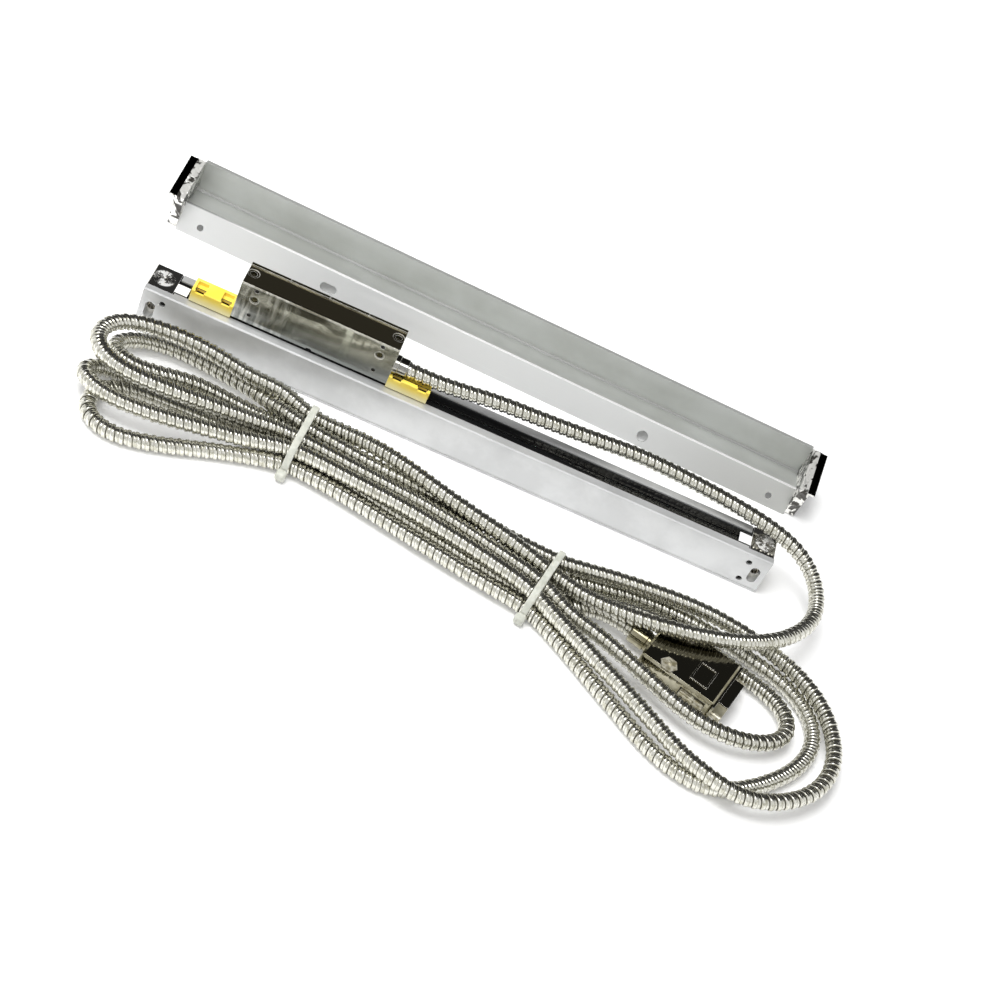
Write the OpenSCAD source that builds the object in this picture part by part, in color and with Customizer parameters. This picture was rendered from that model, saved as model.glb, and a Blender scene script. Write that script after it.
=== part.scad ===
// Sealed linear encoder: slim glass scale, sliding reading head, armoured cable and dust cover.
// Origin: centre of the housing's bottom face. X along the scale, Y to the back, Z up.

/* [Scale housing] */
// Overall length over both end blocks
scale_len = 312; // [290:1:420]
// Width of the extrusion
housing_w = 19; // [18.6:0.1:23]
// Height of the extrusion
housing_h = 21.35; // [21:0.05:25]
// Thickness of the front wall
front_wall = 3.4; // [2.6:0.1:3.6]
// Thickness of the back wall
back_wall = 2.2; // [1.6:0.1:2.4]
// Thickness of the floor
floor_t = 2; // [1.5:0.1:2.2]
// Thickness of the flanges beside the slot
roof_t = 2.55; // [2.4:0.05:2.8]
// Width of the slot in the top
slot_w = 9.7; // [8.6:0.1:10.4]
// Chamfer along the outer top edges
edge_bevel = 0.6; // [0.3:0.1:1]

/* [End blocks] */
// Length of each end block
block_len = 12.5; // [11:0.5:18]
// Step of the block behind the housing's back face
block_step = 0.1; // [0.05:0.05:0.5]
// Thickness of the gasket between block and extrusion
gasket_t = 0.5; // [0.3:0.1:1]
// Distance between the two mounting bores
mount_pitch = 302; // [280:1:410]
// Height of the mounting bores over the base
mount_z = 10; // [9:0.5:12]
// Diameter of the mounting bores
mount_d = 4.5; // [4:0.1:5.5]
// Height of the upright slots in front of the bores
slot_tall = 9.6; // [8:0.1:11]
// Width of the clamping tab on the lip ends
tab_w = 6; // [4:0.5:8]
// Reach of the clamping tab over the lips
tab_reach = 6.1; // [4:0.1:8]
// Thickness of the clamping tab
tab_t = 0.75; // [0.5:0.05:1]
// Diameter of the heads of the block screws
block_screw_d = 2.8; // [2.4:0.1:3.2]
// Depth of the screw heads under the front face
block_screw_deep = 1.2; // [0.3:0.1:1.6]
// Distance between the two screws of a block
block_screw_pitch = 11.5; // [9:0.5:13]
// Distance of the block screws from the bore
block_screw_in = 5; // [4:0.5:6]

/* [Glass and lips] */
// Thickness of the glass scale
glass_t = 1.6; // [1.2:0.1:1.8]
// Space between the glass and the back wall
glass_gap = 3.3; // [3.1:0.1:3.6]
// Thickness of the elastic seat round the glass foot
seat_t = 0.6; // [0.4:0.1:0.8]
// Depth of the glass foot in its groove
seat_h = 2; // [1.5:0.1:2.4]
// Thickness of the two ribs that hold the seat
rib_t = 1; // [0.8:0.1:1.2]
// Gap between the two sealing lips
lip_gap = 0.9; // [0.8:0.05:1.2]
// Thickness of a sealing lip
lip_t = 0.7; // [0.5:0.1:0.9]
// Depth of the groove for a lip's bead
lip_groove = 1; // [0.7:0.1:1.3]

/* [Carriage] */
// Length of the carriage frame
carriage_len = 64; // [58:1:80]
// Outer diameter of a guide bearing
bearing_d = 4; // [3.8:0.1:4.2]
// Width of a guide bearing
bearing_w = 1.4; // [1.2:0.1:1.5]
// Diameter of a bearing pin
pin_d = 1.2; // [1:0.1:1.4]
// Radial clearance of a bearing on its pin
pin_clear = 0.02; // [0.01:0.01:0.05]
// Clearance of a bearing from the glass
run_clear = 0.02; // [0.01:0.01:0.05]
// Distance between the outer guide bearings
bearing_pitch = 48; // [44:1:52]
// Clearance of the frame under the flanges
frame_clear = 1.6; // [1.4:0.1:2]
// Clearance of the frame over the glass
glass_clear = 1; // [0.8:0.1:1.4]
// Thickness of the frame over the glass
frame_t = 2.8; // [2.6:0.1:3]
// Thickness of the frame's front arm
arm_t = 4.2; // [4:0.1:4.6]
// Thickness of the coupling blade
blade_t = 0.8; // [0.6:0.05:0.8]
// Length of the coupling blade
blade_len = 48; // [40:1:56]

/* [Reading head] */
// Length of the reading head
head_len = 76.2; // [72:0.1:90]
// Depth of the reading head
head_w = 15; // [14:0.1:17]
// Height of the reading head
head_h = 21.7; // [21:0.1:26]
// Running gap between housing and head
head_gap = 1.2; // [0.8:0.1:1.6]
// Centre of the head along the scale at rest
head_x = -78.1; // [-82:0.1:-70]
// Centre of the head across the scale
head_y = 2.35; // [2:0.05:2.6]
// Wall thickness of the head's chamber
head_wall = 2.6; // [2:0.1:3.2]
// Thickness of the head's back plate
plate_t = 2; // [1.5:0.1:2.5]
// Rise of the back plate over the head
plate_rise = 0.6; // [0.3:0.1:1]
// Distance between the tapped holes in the front
front_pitch = 60.7; // [56:0.1:62]
// Distance between the tapped holes in the top
top_pitch = 70.4; // [66:0.1:71]
// Diameter of the tapped holes
tap_d = 3.3; // [2.5:0.1:3.6]
// Width of the spot faces round the tapped holes in the top
spot_w = 1.1; // [0.5:0.1:1.2]
// Depth of the tapped holes
tap_depth = 5; // [4:0.5:5.5]
// Thickness of the circuit board
board_t = 1.6; // [1:0.1:2]

/* [Transport brackets] */
// Length of a bracket along the scale
bracket_len = 20; // [16:0.5:24]
// Height of a bracket
bracket_h = 6.9; // [6:0.1:6.9]
// Depth of a bracket
bracket_w = 9.7; // [9:0.1:11]
// Clearance of a bracket over the housing
bracket_clear = 0.3; // [0.2:0.1:0.6]
// Width of the pockets in a bracket
pocket_w = 5; // [4:0.1:6]
// Depth of the pockets in a bracket
pocket_deep = 2; // [1.5:0.1:2.5]
// Clearance of the right bracket round the cable
trough_clear = 0.3; // [0.2:0.1:0.6]

/* [Cable and plug] */
// Outer diameter of the armoured cable
cable_d = 7.7; // [6.5:0.1:8]
// Length of the gland sleeve outside the head
gland_len = 7; // [5:0.5:9]
// Length of the plug's hood
hood_len = 38; // [36:0.5:44]
// Width of the plug's hood
hood_w = 30; // [28:0.5:34]
// Height of the plug's hood
hood_h = 15; // [14:0.1:15]
// Distance between the plug's two screws
screw_pitch = 25; // [24:0.1:26]
// Length of the plug's metal shell
shell_len = 6; // [5:0.1:7]
// Height of the hank of cable
hank_h = 14.2; // [13:0.1:14.2]
// Width of a cable tie
tie_w = 3.4; // [2.5:0.1:5]
// Thickness of a cable tie
tie_t = 1.2; // [0.8:0.1:1.6]

/* [Dust cover] */
// Length of the cover's profile
cover_len = 324.4; // [300:0.1:420]
// Sheet thickness of the cover's profile
cover_t = 1.8; // [1.2:0.1:2.4]
// Thickness of the cover's end caps
cap_t = 4.8; // [3:0.1:7]
// Reach of the top flange past a cap's end
cap_flange = 2.8; // [1:0.1:4]
// Distance of the cover's screw holes from the profile's ends
cover_hole_in = 10.85; // [6:0.05:20]
// Distance of the cover's holes from its front foot
cover_hole_up = 5.45; // [4:0.05:9]
// Diameter of the cover's screw holes
cover_hole_d = 3.2; // [2.5:0.1:4]

/* [Hidden] */
$fn = 48;
eps = 0.01;
half = scale_len / 2;
body_half = half - block_len;
yf = -housing_w / 2;
yb = housing_w / 2;
cav_f = yf + front_wall;
cav_b = yb - back_wall;
cav_top = housing_h - roof_t;
frame_top = cav_top - frame_clear;
frame_z = frame_top - frame_t;
glass_b = cav_b - glass_gap;
glass_f = glass_b - glass_t;
glass_z = floor_t + seat_t;
glass_top = frame_z - glass_clear;
glass_half = body_half - 6;
seat_top = glass_z + seat_h;
lip_half = body_half - gasket_t;
lip_top = housing_h - tab_t;
groove_z = cav_top + 0.55;
groove_h = 1;
mount_x = mount_pitch / 2;
arm_y = glass_f - 0.8;
arm_out = arm_y - arm_t;
arm_foot = seat_top + 0.8;
run_y = glass_f - run_clear - bearing_d / 2;
run_z = glass_top + run_clear + bearing_d / 2;
glass_mid = (glass_f + glass_b) / 2;
mid_bearing_z = glass_top - 0.2 - bearing_w / 2;
low_bearing_z = arm_foot + 0.9 + bearing_w / 2;
head_z = housing_h + head_gap;
head_top = head_z + head_h;
head_l = head_x - head_len / 2;
head_r = head_x + head_len / 2;
head_f = head_y - head_w / 2;
head_b = head_y + head_w / 2;
head_core_b = head_b - plate_t;
chamber_half = head_len / 2 - 12;
tap_z = head_z + head_h * 2 / 3;
top_y = head_y + 0.85;
board_y = head_y - 0.35;
head_mid = head_z + head_h / 2;
standoff_z = head_h / 2 - head_wall - 2;
gland_y = head_y - 1.85;
gland_z = head_z + head_h * 2 / 5;
gland_r = cable_d / 2 + 0.85;
foot_t = 0.8;
bracket_z = housing_h + bracket_clear;
bracket_f = head_f - 0.55;
plug_pos = [130, -79.8, 0];
plug_turn = -17.7;
hood_e = hood_len / 2;
shell_z = hood_h / 2;
ferrule_len = 10;
ferrule_r = cable_d / 2 + 1.1;
cover_turn = -2;
cover_x = -1.2;
cap_half = cover_len / 2 + cap_t;
cover_pitch = cover_len - 2 * cover_hole_in;

// the cover's fold lines, seen along the scale: far rim, soft bend, ridge, front foot
cov_rim = [80.5, 24.6];
cov_bend = [81.5, 6.3];
cov_ridge = [62.7, 12.3];
cov_foot = [55, 0];
cov_face = (cov_ridge - cov_foot) / norm(cov_ridge - cov_foot);
cov_web = (cov_bend - cov_ridge) / norm(cov_bend - cov_ridge);
cov_wall = (cov_rim - cov_bend) / norm(cov_rim - cov_bend);

// the free stretch of cable, from the gland down to the hank
route = [
    [0, 0, 0], [14, 0, 0], [29, 0.9, 1], [44, 3, 1.3], [59, 4.5, 0.8], [74, 6.5, 0],
    [93, 9, -0.6], [113, 12, -1.6], [134, 11.7, -2.1], [154, 10, -2.5], [173, 7.5, -3.2],
    [190, 4.5, -5.2], [200, 2.5, -8.2], [207, -1.5, -11.2], [213, -8.5, -14.2],
    [215, -20.5, -15.7], [213, -31.5, -15.2], [207, -41.5, -14.2], [199, -51.5, -12.7],
    [189, -59.5, -11.5], [175, -66.5, -10.9], [158, -71.5, -11], [143, -73.5, -11.8],
    [130, -72.5, -14.7], [119, -70.5, -17.2]
];
route_from = [head_r + gland_len, gland_y, gland_z];
tube_sides = 10;

// ---- helpers ----
module box(a, b) translate(a) cube(b - a);
module xrod(r, x0, x1, y, z) translate([x0, y, z]) rotate([0, 90, 0]) cylinder(r = r, h = x1 - x0);
module yrod(r, y0, y1, x, z) translate([x, y0, z]) rotate([-90, 0, 0]) cylinder(r = r, h = y1 - y0);
module zrod(r, z0, z1, x, y) translate([x, y, z0]) cylinder(r = r, h = z1 - z0);
// a section drawn in Y and Z, drawn out along X
module bar(pts, x0, x1) translate([x0, 0, 0]) rotate([90, 0, 90]) linear_extrude(x1 - x0) polygon(pts);
module mirrored() { children(); mirror([1, 0, 0]) children(); }
module at_head() translate([head_x, 0, 0]) children();
module at_plug() translate(plug_pos) rotate([0, 0, plug_turn]) children();
module at_cover() translate([cover_x, 0, 0]) rotate([0, 0, cover_turn]) children();
module hex_socket(r, depth) cylinder(r = r, h = depth, $fn = 6);

// ---- scale ----
module housing_extrusion() color([0.80, 0.81, 0.82]) difference() {
    union() {
        difference() {
            bar([[yf, 0.3], [yf + 0.3, 0], [yb - 0.3, 0], [yb, 0.3], [yb, housing_h - edge_bevel],
                [yb - edge_bevel, housing_h], [yf + edge_bevel, housing_h], [yf, housing_h - edge_bevel]],
                -half, half);
            box([-half - 1, cav_f, floor_t], [half + 1, cav_b, cav_top]);
            box([-half - 1, -slot_w / 2, cav_top - eps], [half + 1, slot_w / 2, housing_h + 1]);
            box([-half - 1, -slot_w / 2 - lip_groove, groove_z],
                [half + 1, slot_w / 2 + lip_groove, groove_z + groove_h]);
        }
        for (y = [glass_f - seat_t - rib_t, glass_b + seat_t])
            box([-body_half + gasket_t, y, floor_t - eps], [body_half - gasket_t, y + rib_t, seat_top]);
    }
    // the ends keep only the front wall
    for (s = [-1, 1]) translate([s * (half + body_half - gasket_t) / 2, 0, 0])
        box([-(block_len + gasket_t) / 2 - (s < 0 ? 1 : 0), cav_f, -1],
            [(block_len + gasket_t) / 2 + (s > 0 ? 1 : 0), yb + 1, housing_h + 1]);
    // fine shadow groove low on the front face
    box([-half - 1, yf - 1, 1.3], [half + 1, yf + 0.25, 1.65]);
    for (s = [-1, 1]) {
        for (z = [-1, 1])
            yrod(mount_d / 2, yf - 1, cav_f + 1, s * mount_x, mount_z + z * (slot_tall - mount_d) / 2);
        box([s * mount_x - mount_d / 2, yf - 1, mount_z - (slot_tall - mount_d) / 2],
            [s * mount_x + mount_d / 2, cav_f + 1, mount_z + (slot_tall - mount_d) / 2]);
        for (z = [-1, 1])
            yrod(block_screw_d / 2 + 0.05, yf - 1, cav_f + 1, s * (mount_x - block_screw_in),
                mount_z + 0.5 + z * block_screw_pitch / 2);
    }
}

module end_block() color([0.75, 0.76, 0.78]) difference() {
    union() {
        bar([[cav_f, 0], [yb - block_step - 0.4, 0], [yb - block_step, 0.4],
            [yb - block_step, housing_h - 0.4], [yb - block_step - 0.4, housing_h], [cav_f, housing_h]],
            body_half, half);
        // locating boss in the cavity
        bar([[cav_f + 0.4, floor_t + 0.4], [glass_f - seat_t - rib_t - 0.6, floor_t + 0.4],
            [glass_f - seat_t - rib_t - 0.6, cav_top - 1.4], [glass_f - seat_t - rib_t - 1.6, cav_top - 0.4],
            [cav_f + 1.4, cav_top - 0.4], [cav_f + 0.4, cav_top - 1.4]], body_half - 3, body_half + eps);
        // clamping tab over the lip ends
        bar([[-tab_w / 2 - 1, lip_top], [tab_w / 2 - 1, lip_top], [tab_w / 2 - 1, housing_h],
            [-tab_w / 2 - 1, housing_h]], body_half - tab_reach, body_half + eps);
    }
    yrod(mount_d / 2, cav_f - 1, yb + 1, mount_x, mount_z);
    for (z = [-1, 1])
        yrod(1, cav_f - 1, cav_f + 6, mount_x - block_screw_in, mount_z + 0.5 + z * block_screw_pitch / 2);
    // bevelled outer edge
    translate([half, 0, housing_h]) rotate([0, 45, 0]) cube([0.6, 3 * housing_w, 0.6], center = true);
}
module end_block_right() end_block();
module end_block_left() mirror([1, 0, 0]) end_block();

module end_gaskets() color([0.08, 0.08, 0.08]) mirrored() difference() {
    box([body_half - gasket_t, cav_f, 0.3], [body_half, yb - block_step - 0.2, lip_top - 0.2]);
    box([body_half - gasket_t - 1, cav_f + 0.3, floor_t + 0.3],
        [body_half + 1, glass_f - seat_t - rib_t - 0.4, cav_top - 0.3]);
}

module block_screws() color([0.7, 0.71, 0.73]) mirrored() for (z = [-1, 1])
    translate([mount_x - block_screw_in, 0, mount_z + 0.5 + z * block_screw_pitch / 2]) difference() {
        union() {
            yrod(block_screw_d / 2, yf + block_screw_deep, cav_f, 0, 0);
            yrod(0.98, cav_f - eps, cav_f + 5.5, 0, 0);
        }
        translate([0, yf + block_screw_deep - eps, 0]) rotate([-90, 0, 0]) hex_socket(0.85, 1.2);
    }

module glass_scale() color([0.75, 0.88, 0.85, 0.6])
    bar([[glass_f, glass_z], [glass_b, glass_z], [glass_b, glass_top - 0.15], [glass_b - 0.15, glass_top],
        [glass_f + 0.15, glass_top], [glass_f, glass_top - 0.15]], -glass_half, glass_half);

module glass_seat() color([0.15, 0.15, 0.16]) difference() {
    box([-glass_half, glass_f - seat_t, floor_t], [glass_half, glass_b + seat_t, seat_top]);
    box([-glass_half - 1, glass_f, glass_z], [glass_half + 1, glass_b, seat_top + 1]);
}

module seal_lip() color([0.03, 0.03, 0.04])
    bar([[slot_w / 2 + lip_groove, groove_z], [slot_w / 2 + lip_groove, groove_z + groove_h],
        [slot_w / 2, groove_z + groove_h], [slot_w / 2, lip_top], [slot_w / 2 - 0.6, lip_top],
        [lip_gap / 2 + 1.2, lip_top - 0.42], [lip_gap / 2, lip_top - 0.5],
        [lip_gap / 2, lip_top - 0.5 - lip_t / 2], [lip_gap / 2 + 1.2, lip_top - 0.42 - lip_t],
        [slot_w / 2 - 1, groove_z]], -lip_half, lip_half);
module seal_lip_back() seal_lip();
module seal_lip_front() mirror([0, 1, 0]) seal_lip();

// ---- reading head ----
module head_housing() color([0.42, 0.41, 0.40]) difference() {
    bar([[head_f, head_z + 0.4], [head_f + 0.4, head_z], [head_core_b, head_z], [head_core_b, head_top],
        [head_f + 0.5, head_top], [head_f, head_top - 0.5]], head_l, head_r);
    // chamber for the electronics, open to the back plate
    difference() {
        at_head() box([-chamber_half, head_f + head_wall, head_z + head_wall],
            [chamber_half, head_core_b + 1, head_top - head_wall]);
        for (x = [-1, 1], z = [-1, 1])
            yrod(1.5, head_f + head_wall - eps, board_y, head_x + x * (chamber_half - 3),
                head_mid + z * standoff_z);
    }
    // front face: tapped holes with a machined ring, small screw holes above and below
    for (s = [-1, 1]) {
        yrod(tap_d / 2, head_f - 1, head_f + tap_depth, head_x + s * front_pitch / 2, tap_z);
        yrod(tap_d / 2 + 0.6, head_f - 1, head_f + 0.3, head_x + s * front_pitch / 2, tap_z);
        for (z = [head_z + 5, head_top - 1.9])
            yrod(1.05, head_f - 1, head_f + 4, head_x + s * front_pitch / 2, z);
        // top face: tapped holes in round spot faces
        zrod(tap_d / 2, head_top - tap_depth, head_top + 1, head_x + s * top_pitch / 2, top_y);
        zrod(tap_d / 2 + spot_w, head_top - 0.3, head_top + 1, head_x + s * top_pitch / 2, top_y);
    }
    // notch at the lower front edge and the seat of the cable gland
    yrod(1.5, head_f - 1, head_f + 1.2, head_x, head_z);
    xrod(3.5, head_r - 4, head_r + 1, gland_y, gland_z);
    xrod(2.4, head_x + chamber_half - 1, head_r, gland_y, gland_z);
}

module head_back_plate() color([0.42, 0.41, 0.40]) difference() {
    bar([[head_core_b, head_z], [head_b - 0.4, head_z], [head_b, head_z + 0.4],
        [head_b, head_top + plate_rise - 0.4], [head_b - 0.4, head_top + plate_rise],
        [head_core_b, head_top + plate_rise]], head_l, head_r);
    for (s = [-1, 1])
        zrod(tap_d / 2 + spot_w, head_top - 0.3, head_top + plate_rise + 1, head_x + s * top_pitch / 2, top_y);
    // fine seams across the rim at the quarters
    for (k = [-1, 0, 1])
        at_head() box([k * head_len / 4 - 0.15, head_core_b - 1, head_top],
            [k * head_len / 4 + 0.15, head_b + 1, head_top + plate_rise + 1]);
}

module head_screws() color([0.55, 0.54, 0.52]) for (s = [-1, 1], z = [head_z + 5, head_top - 1.9])
    translate([head_x + s * front_pitch / 2, 0, z]) difference() {
        yrod(1, head_f + 0.8, head_f + 4, 0, 0);
        translate([0, head_f + 0.8 - eps, 0]) rotate([-90, 0, 0]) hex_socket(0.6, 1.2);
    }

module circuit_board() color([0.05, 0.35, 0.2]) at_head() {
    difference() {
        box([-chamber_half + 0.8, board_y, head_z + head_wall + 0.6],
            [chamber_half - 0.8, board_y + board_t, head_top - head_wall - 0.6]);
        for (x = [-1, 1], z = [-1, 1])
            yrod(0.7, board_y - 1, board_y + board_t + 1, x * (chamber_half - 3),
                head_mid + z * standoff_z);
    }
    for (c = [[-12, 2, 7, 7], [2, 3, 5, 4], [12, -3, 4, 6]])
        box([c[0], board_y + board_t - eps, head_mid + c[1] - c[3] / 2],
            [c[0] + c[2], board_y + board_t + 1, head_mid + c[1] + c[3] / 2]);
}

module cable_gland() color([0.6, 0.6, 0.6]) translate([head_r, gland_y, gland_z]) rotate([0, 90, 0])
    rotate_extrude() polygon([[2.2, -4], [3.5, -4], [3.5, 0], [gland_r, 0], [gland_r, 2],
        [gland_r - 0.35, 2.3], [gland_r - 0.35, gland_len - 0.8], [gland_r - 0.8, gland_len - 0.4],
        [gland_r - 0.8, gland_len], [2.2, gland_len]]);

module coupling_blade() color([0.7, 0.7, 0.72]) at_head() {
    box([-blade_len / 2 - 2, -2, head_z - foot_t], [blade_len / 2 + 2, 2, head_z]);
    translate([0, blade_t / 2, 0]) rotate([90, 0, 0]) linear_extrude(blade_t)
        polygon([[-blade_len / 2, head_z - foot_t + eps], [blade_len / 2, head_z - foot_t + eps],
            [blade_len / 2, cav_top + 0.6], [blade_len / 2 - 6, frame_top + 0.7],
            [-blade_len / 2 + 6, frame_top + 0.7], [-blade_len / 2, cav_top + 0.6]]);
}

module coupling_spring() color([0.75, 0.75, 0.78]) at_head() translate([0, 1.5, 0]) rotate([90, 0, 0])
    linear_extrude(3) polygon([[-4, frame_top], [4, frame_top], [9, frame_top + 0.4], [14, frame_top + 0.4],
        [14, frame_top + 0.7], [8.9, frame_top + 0.7], [3.9, frame_top + 0.3], [-3.9, frame_top + 0.3],
        [-8.9, frame_top + 0.7], [-14, frame_top + 0.7], [-14, frame_top + 0.4], [-9, frame_top + 0.4]]);

module carriage_frame() color([0.5, 0.5, 0.52]) at_head() difference() {
    union() {
        box([-carriage_len / 2, arm_out, frame_z], [carriage_len / 2, cav_b - 0.7, frame_top]);
        box([-carriage_len / 2, arm_out, arm_foot], [carriage_len / 2, arm_y, frame_z + eps]);
        // back arm that carries the photocell board
        box([-14, cav_b - 1.6, arm_foot], [14, cav_b - 0.7, frame_z + eps]);
    }
    // windows for the bearings that roll on the front of the glass
    for (b = [[-1, low_bearing_z], [1, low_bearing_z]]) {
        box([b[0] * bearing_pitch / 2 - 2.6, run_y - 2.4, b[1] - bearing_w / 2 - 0.2],
            [b[0] * bearing_pitch / 2 + 2.6, arm_y + 1, b[1] + bearing_w / 2 + 0.2]);
        zrod(pin_d / 2, arm_foot - 1, b[1] + bearing_w / 2 + 2, b[0] * bearing_pitch / 2, run_y);
    }
    box([-2.6, run_y - 2.4, mid_bearing_z - bearing_w / 2 - 0.2],
        [2.6, arm_y + 1, mid_bearing_z + bearing_w / 2 + 0.2]);
    zrod(pin_d / 2, mid_bearing_z - bearing_w / 2 - 0.9, frame_top + 1, 0, run_y);
    // windows for the bearings that roll on the glass edge
    for (s = [-1, 1]) {
        box([s * (bearing_pitch / 2 + 3) - 2.6, glass_mid - bearing_w / 2 - 0.2, frame_z - 1],
            [s * (bearing_pitch / 2 + 3) + 2.6, glass_mid + bearing_w / 2 + 0.2, frame_top + 1]);
        yrod(pin_d / 2, glass_mid - bearing_w / 2 - 1.5, glass_mid + bearing_w / 2 + 1.5,
            s * (bearing_pitch / 2 + 3), run_z);
    }
    // window for the light
    box([-7, arm_out - 1, arm_foot + 1], [7, arm_y + 1, arm_foot + 4.2]);
    // lightening windows in the front arm
    for (s = [-1, 1]) box([s * 15.5 - 3.5, arm_out - 1, arm_foot + 1.2], [s * 15.5 + 3.5, arm_y + 1, frame_z - 1]);
}

module bearing_pins() color([0.78, 0.78, 0.8]) at_head() {
    for (s = [-1, 1]) {
        zrod(pin_d / 2, arm_foot + 0.1, low_bearing_z + bearing_w / 2 + 1.8, s * bearing_pitch / 2, run_y);
        yrod(pin_d / 2, glass_mid - bearing_w / 2 - 1.4, glass_mid + bearing_w / 2 + 1.4,
            s * (bearing_pitch / 2 + 3), run_z);
    }
    zrod(pin_d / 2, mid_bearing_z - bearing_w / 2 - 0.8, frame_top - 0.1, 0, run_y);
}

module guide_bearing() color([0.72, 0.73, 0.75]) rotate_extrude()
    polygon([[pin_d / 2 + pin_clear, -bearing_w / 2], [bearing_d * 0.28, -bearing_w / 2],
        [bearing_d * 0.28, -bearing_w / 2 + 0.15], [bearing_d * 0.4, -bearing_w / 2 + 0.15],
        [bearing_d * 0.4, -bearing_w / 2], [bearing_d / 2 - 0.1, -bearing_w / 2],
        [bearing_d / 2, -bearing_w / 2 + 0.1], [bearing_d / 2, bearing_w / 2 - 0.1],
        [bearing_d / 2 - 0.1, bearing_w / 2], [bearing_d * 0.4, bearing_w / 2],
        [bearing_d * 0.4, bearing_w / 2 - 0.15], [bearing_d * 0.28, bearing_w / 2 - 0.15],
        [bearing_d * 0.28, bearing_w / 2], [pin_d / 2 + pin_clear, bearing_w / 2]]);
module guide_bearing_low_left()
    translate([head_x - bearing_pitch / 2, run_y, low_bearing_z]) guide_bearing();
module guide_bearing_low_right()
    translate([head_x + bearing_pitch / 2, run_y, low_bearing_z]) guide_bearing();
module guide_bearing_middle() translate([head_x, run_y, mid_bearing_z]) guide_bearing();
module guide_bearing_top_left()
    translate([head_x - bearing_pitch / 2 - 3, glass_mid, run_z]) rotate([-90, 0, 0]) guide_bearing();
module guide_bearing_top_right()
    translate([head_x + bearing_pitch / 2 + 3, glass_mid, run_z]) rotate([-90, 0, 0]) guide_bearing();

module light_source() color([0.1, 0.1, 0.12]) at_head() {
    box([-9, arm_out - 1.2, arm_foot + 0.2], [9, arm_out, arm_foot + 5.2]);
    for (x = [-4, 0, 4]) yrod(1, arm_out - eps, arm_out + 1, x, arm_foot + 2.6);
}
module photocell_board() color([0.1, 0.3, 0.15]) at_head() {
    box([-13, cav_b - 2.5, arm_foot + 0.4], [13, cav_b - 1.6, frame_z]);
    for (x = [-6, -2, 2, 6]) box([x - 1.4, cav_b - 2.9, arm_foot + 1.2], [x + 1.4, cav_b - 2.5 + eps, arm_foot + 4]);
}
module index_grating() color([0.75, 0.88, 0.85, 0.6])
    at_head() box([-8, arm_y, arm_foot + 0.5], [8, arm_y + 0.5, arm_foot + 4.7]);

// moulded transport bracket: two open pockets, each with a slot behind a low front wall that
// runs down into the hollow underside
module transport_bracket(x0) color([0.93, 0.76, 0.05]) difference() {
    top = bracket_z + bracket_h;
    web = top - pocket_deep - 1.2;
    bar([[bracket_f, bracket_z + 0.3], [bracket_f + 0.3, bracket_z], [bracket_f + bracket_w - 0.3, bracket_z],
        [bracket_f + bracket_w, bracket_z + 0.3], [bracket_f + bracket_w, top - 0.8],
        [bracket_f + bracket_w - 0.8, top], [bracket_f + 0.3, top], [bracket_f, top - 0.3]],
        x0, x0 + bracket_len);
    for (s = [0, 1]) {
        x1 = x0 + 1.3 + s * (bracket_len - 2.6 - pocket_w);
        x2 = x1 + pocket_w;
        box([x1, bracket_f + 1, top - pocket_deep], [x2, bracket_f + bracket_w - 2.5, top + 1]);
        box([x1 + 0.4, bracket_f - 1, top - 1.2], [x2 - 0.4, bracket_f + 2, top + 1]);
        box([x1 + 0.4, bracket_f + 0.9, web - 1], [x2 - 0.4, bracket_f + 4.2, top - pocket_deep + eps]);
        box([x1 + 0.4, bracket_f + 0.9, bracket_z - 1], [x2 - 0.4, bracket_f + bracket_w - 1.4, web]);
    }
}
module transport_bracket_left() transport_bracket(head_l - bracket_len);
// the cable leaves the head over the right bracket, through a trough in its back
module transport_bracket_right() color([0.93, 0.76, 0.05]) difference() {
    transport_bracket(head_r);
    xrod(gland_r + trough_clear, head_r - 1, head_r + bracket_len + 1, gland_y, gland_z);
}

// ---- cable ----
function unit(v) = v / norm(v);
function way(p, i) = unit(p[min(i + 1, len(p) - 1)] - p[max(i - 1, 0)]);
function side(p, i) = i == 0 ? unit(cross(way(p, 0), [0, 0, 1])) :
    unit(side(p, i - 1) - (side(p, i - 1) * way(p, i)) * way(p, i));
function sides(p, i = 0, u = undef) = i == len(p) ? [] :
    let (w = i == 0 ? unit(cross(way(p, 0), [0, 0, 1])) : unit(u - (u * way(p, i)) * way(p, i)))
    concat([w], sides(p, i + 1, w));
module sweep(p, r, n) {
    u = sides(p);
    rings = [for (i = [0:len(p) - 1], k = [0:n - 1])
        p[i] + r * (cos(360 * k / n) * u[i] + sin(360 * k / n) * cross(way(p, i), u[i]))];
    last = (len(p) - 1) * n;
    walls = [for (i = [0:len(p) - 2], k = [0:n - 1]) let (a = i * n + k, b = i * n + (k + 1) % n)
        each [[a, a + n, b], [b, a + n, b + n]]];
    polyhedron(points = rings, faces = concat(walls, [[for (k = [0:n - 1]) k]],
        [[for (k = [n - 1:-1:0]) last + k]]), convexity = 10);
}
module cable_tube() color([0.66, 0.66, 0.62])
    translate(route_from) sweep(route, cable_d / 2, tube_sides);

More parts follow.
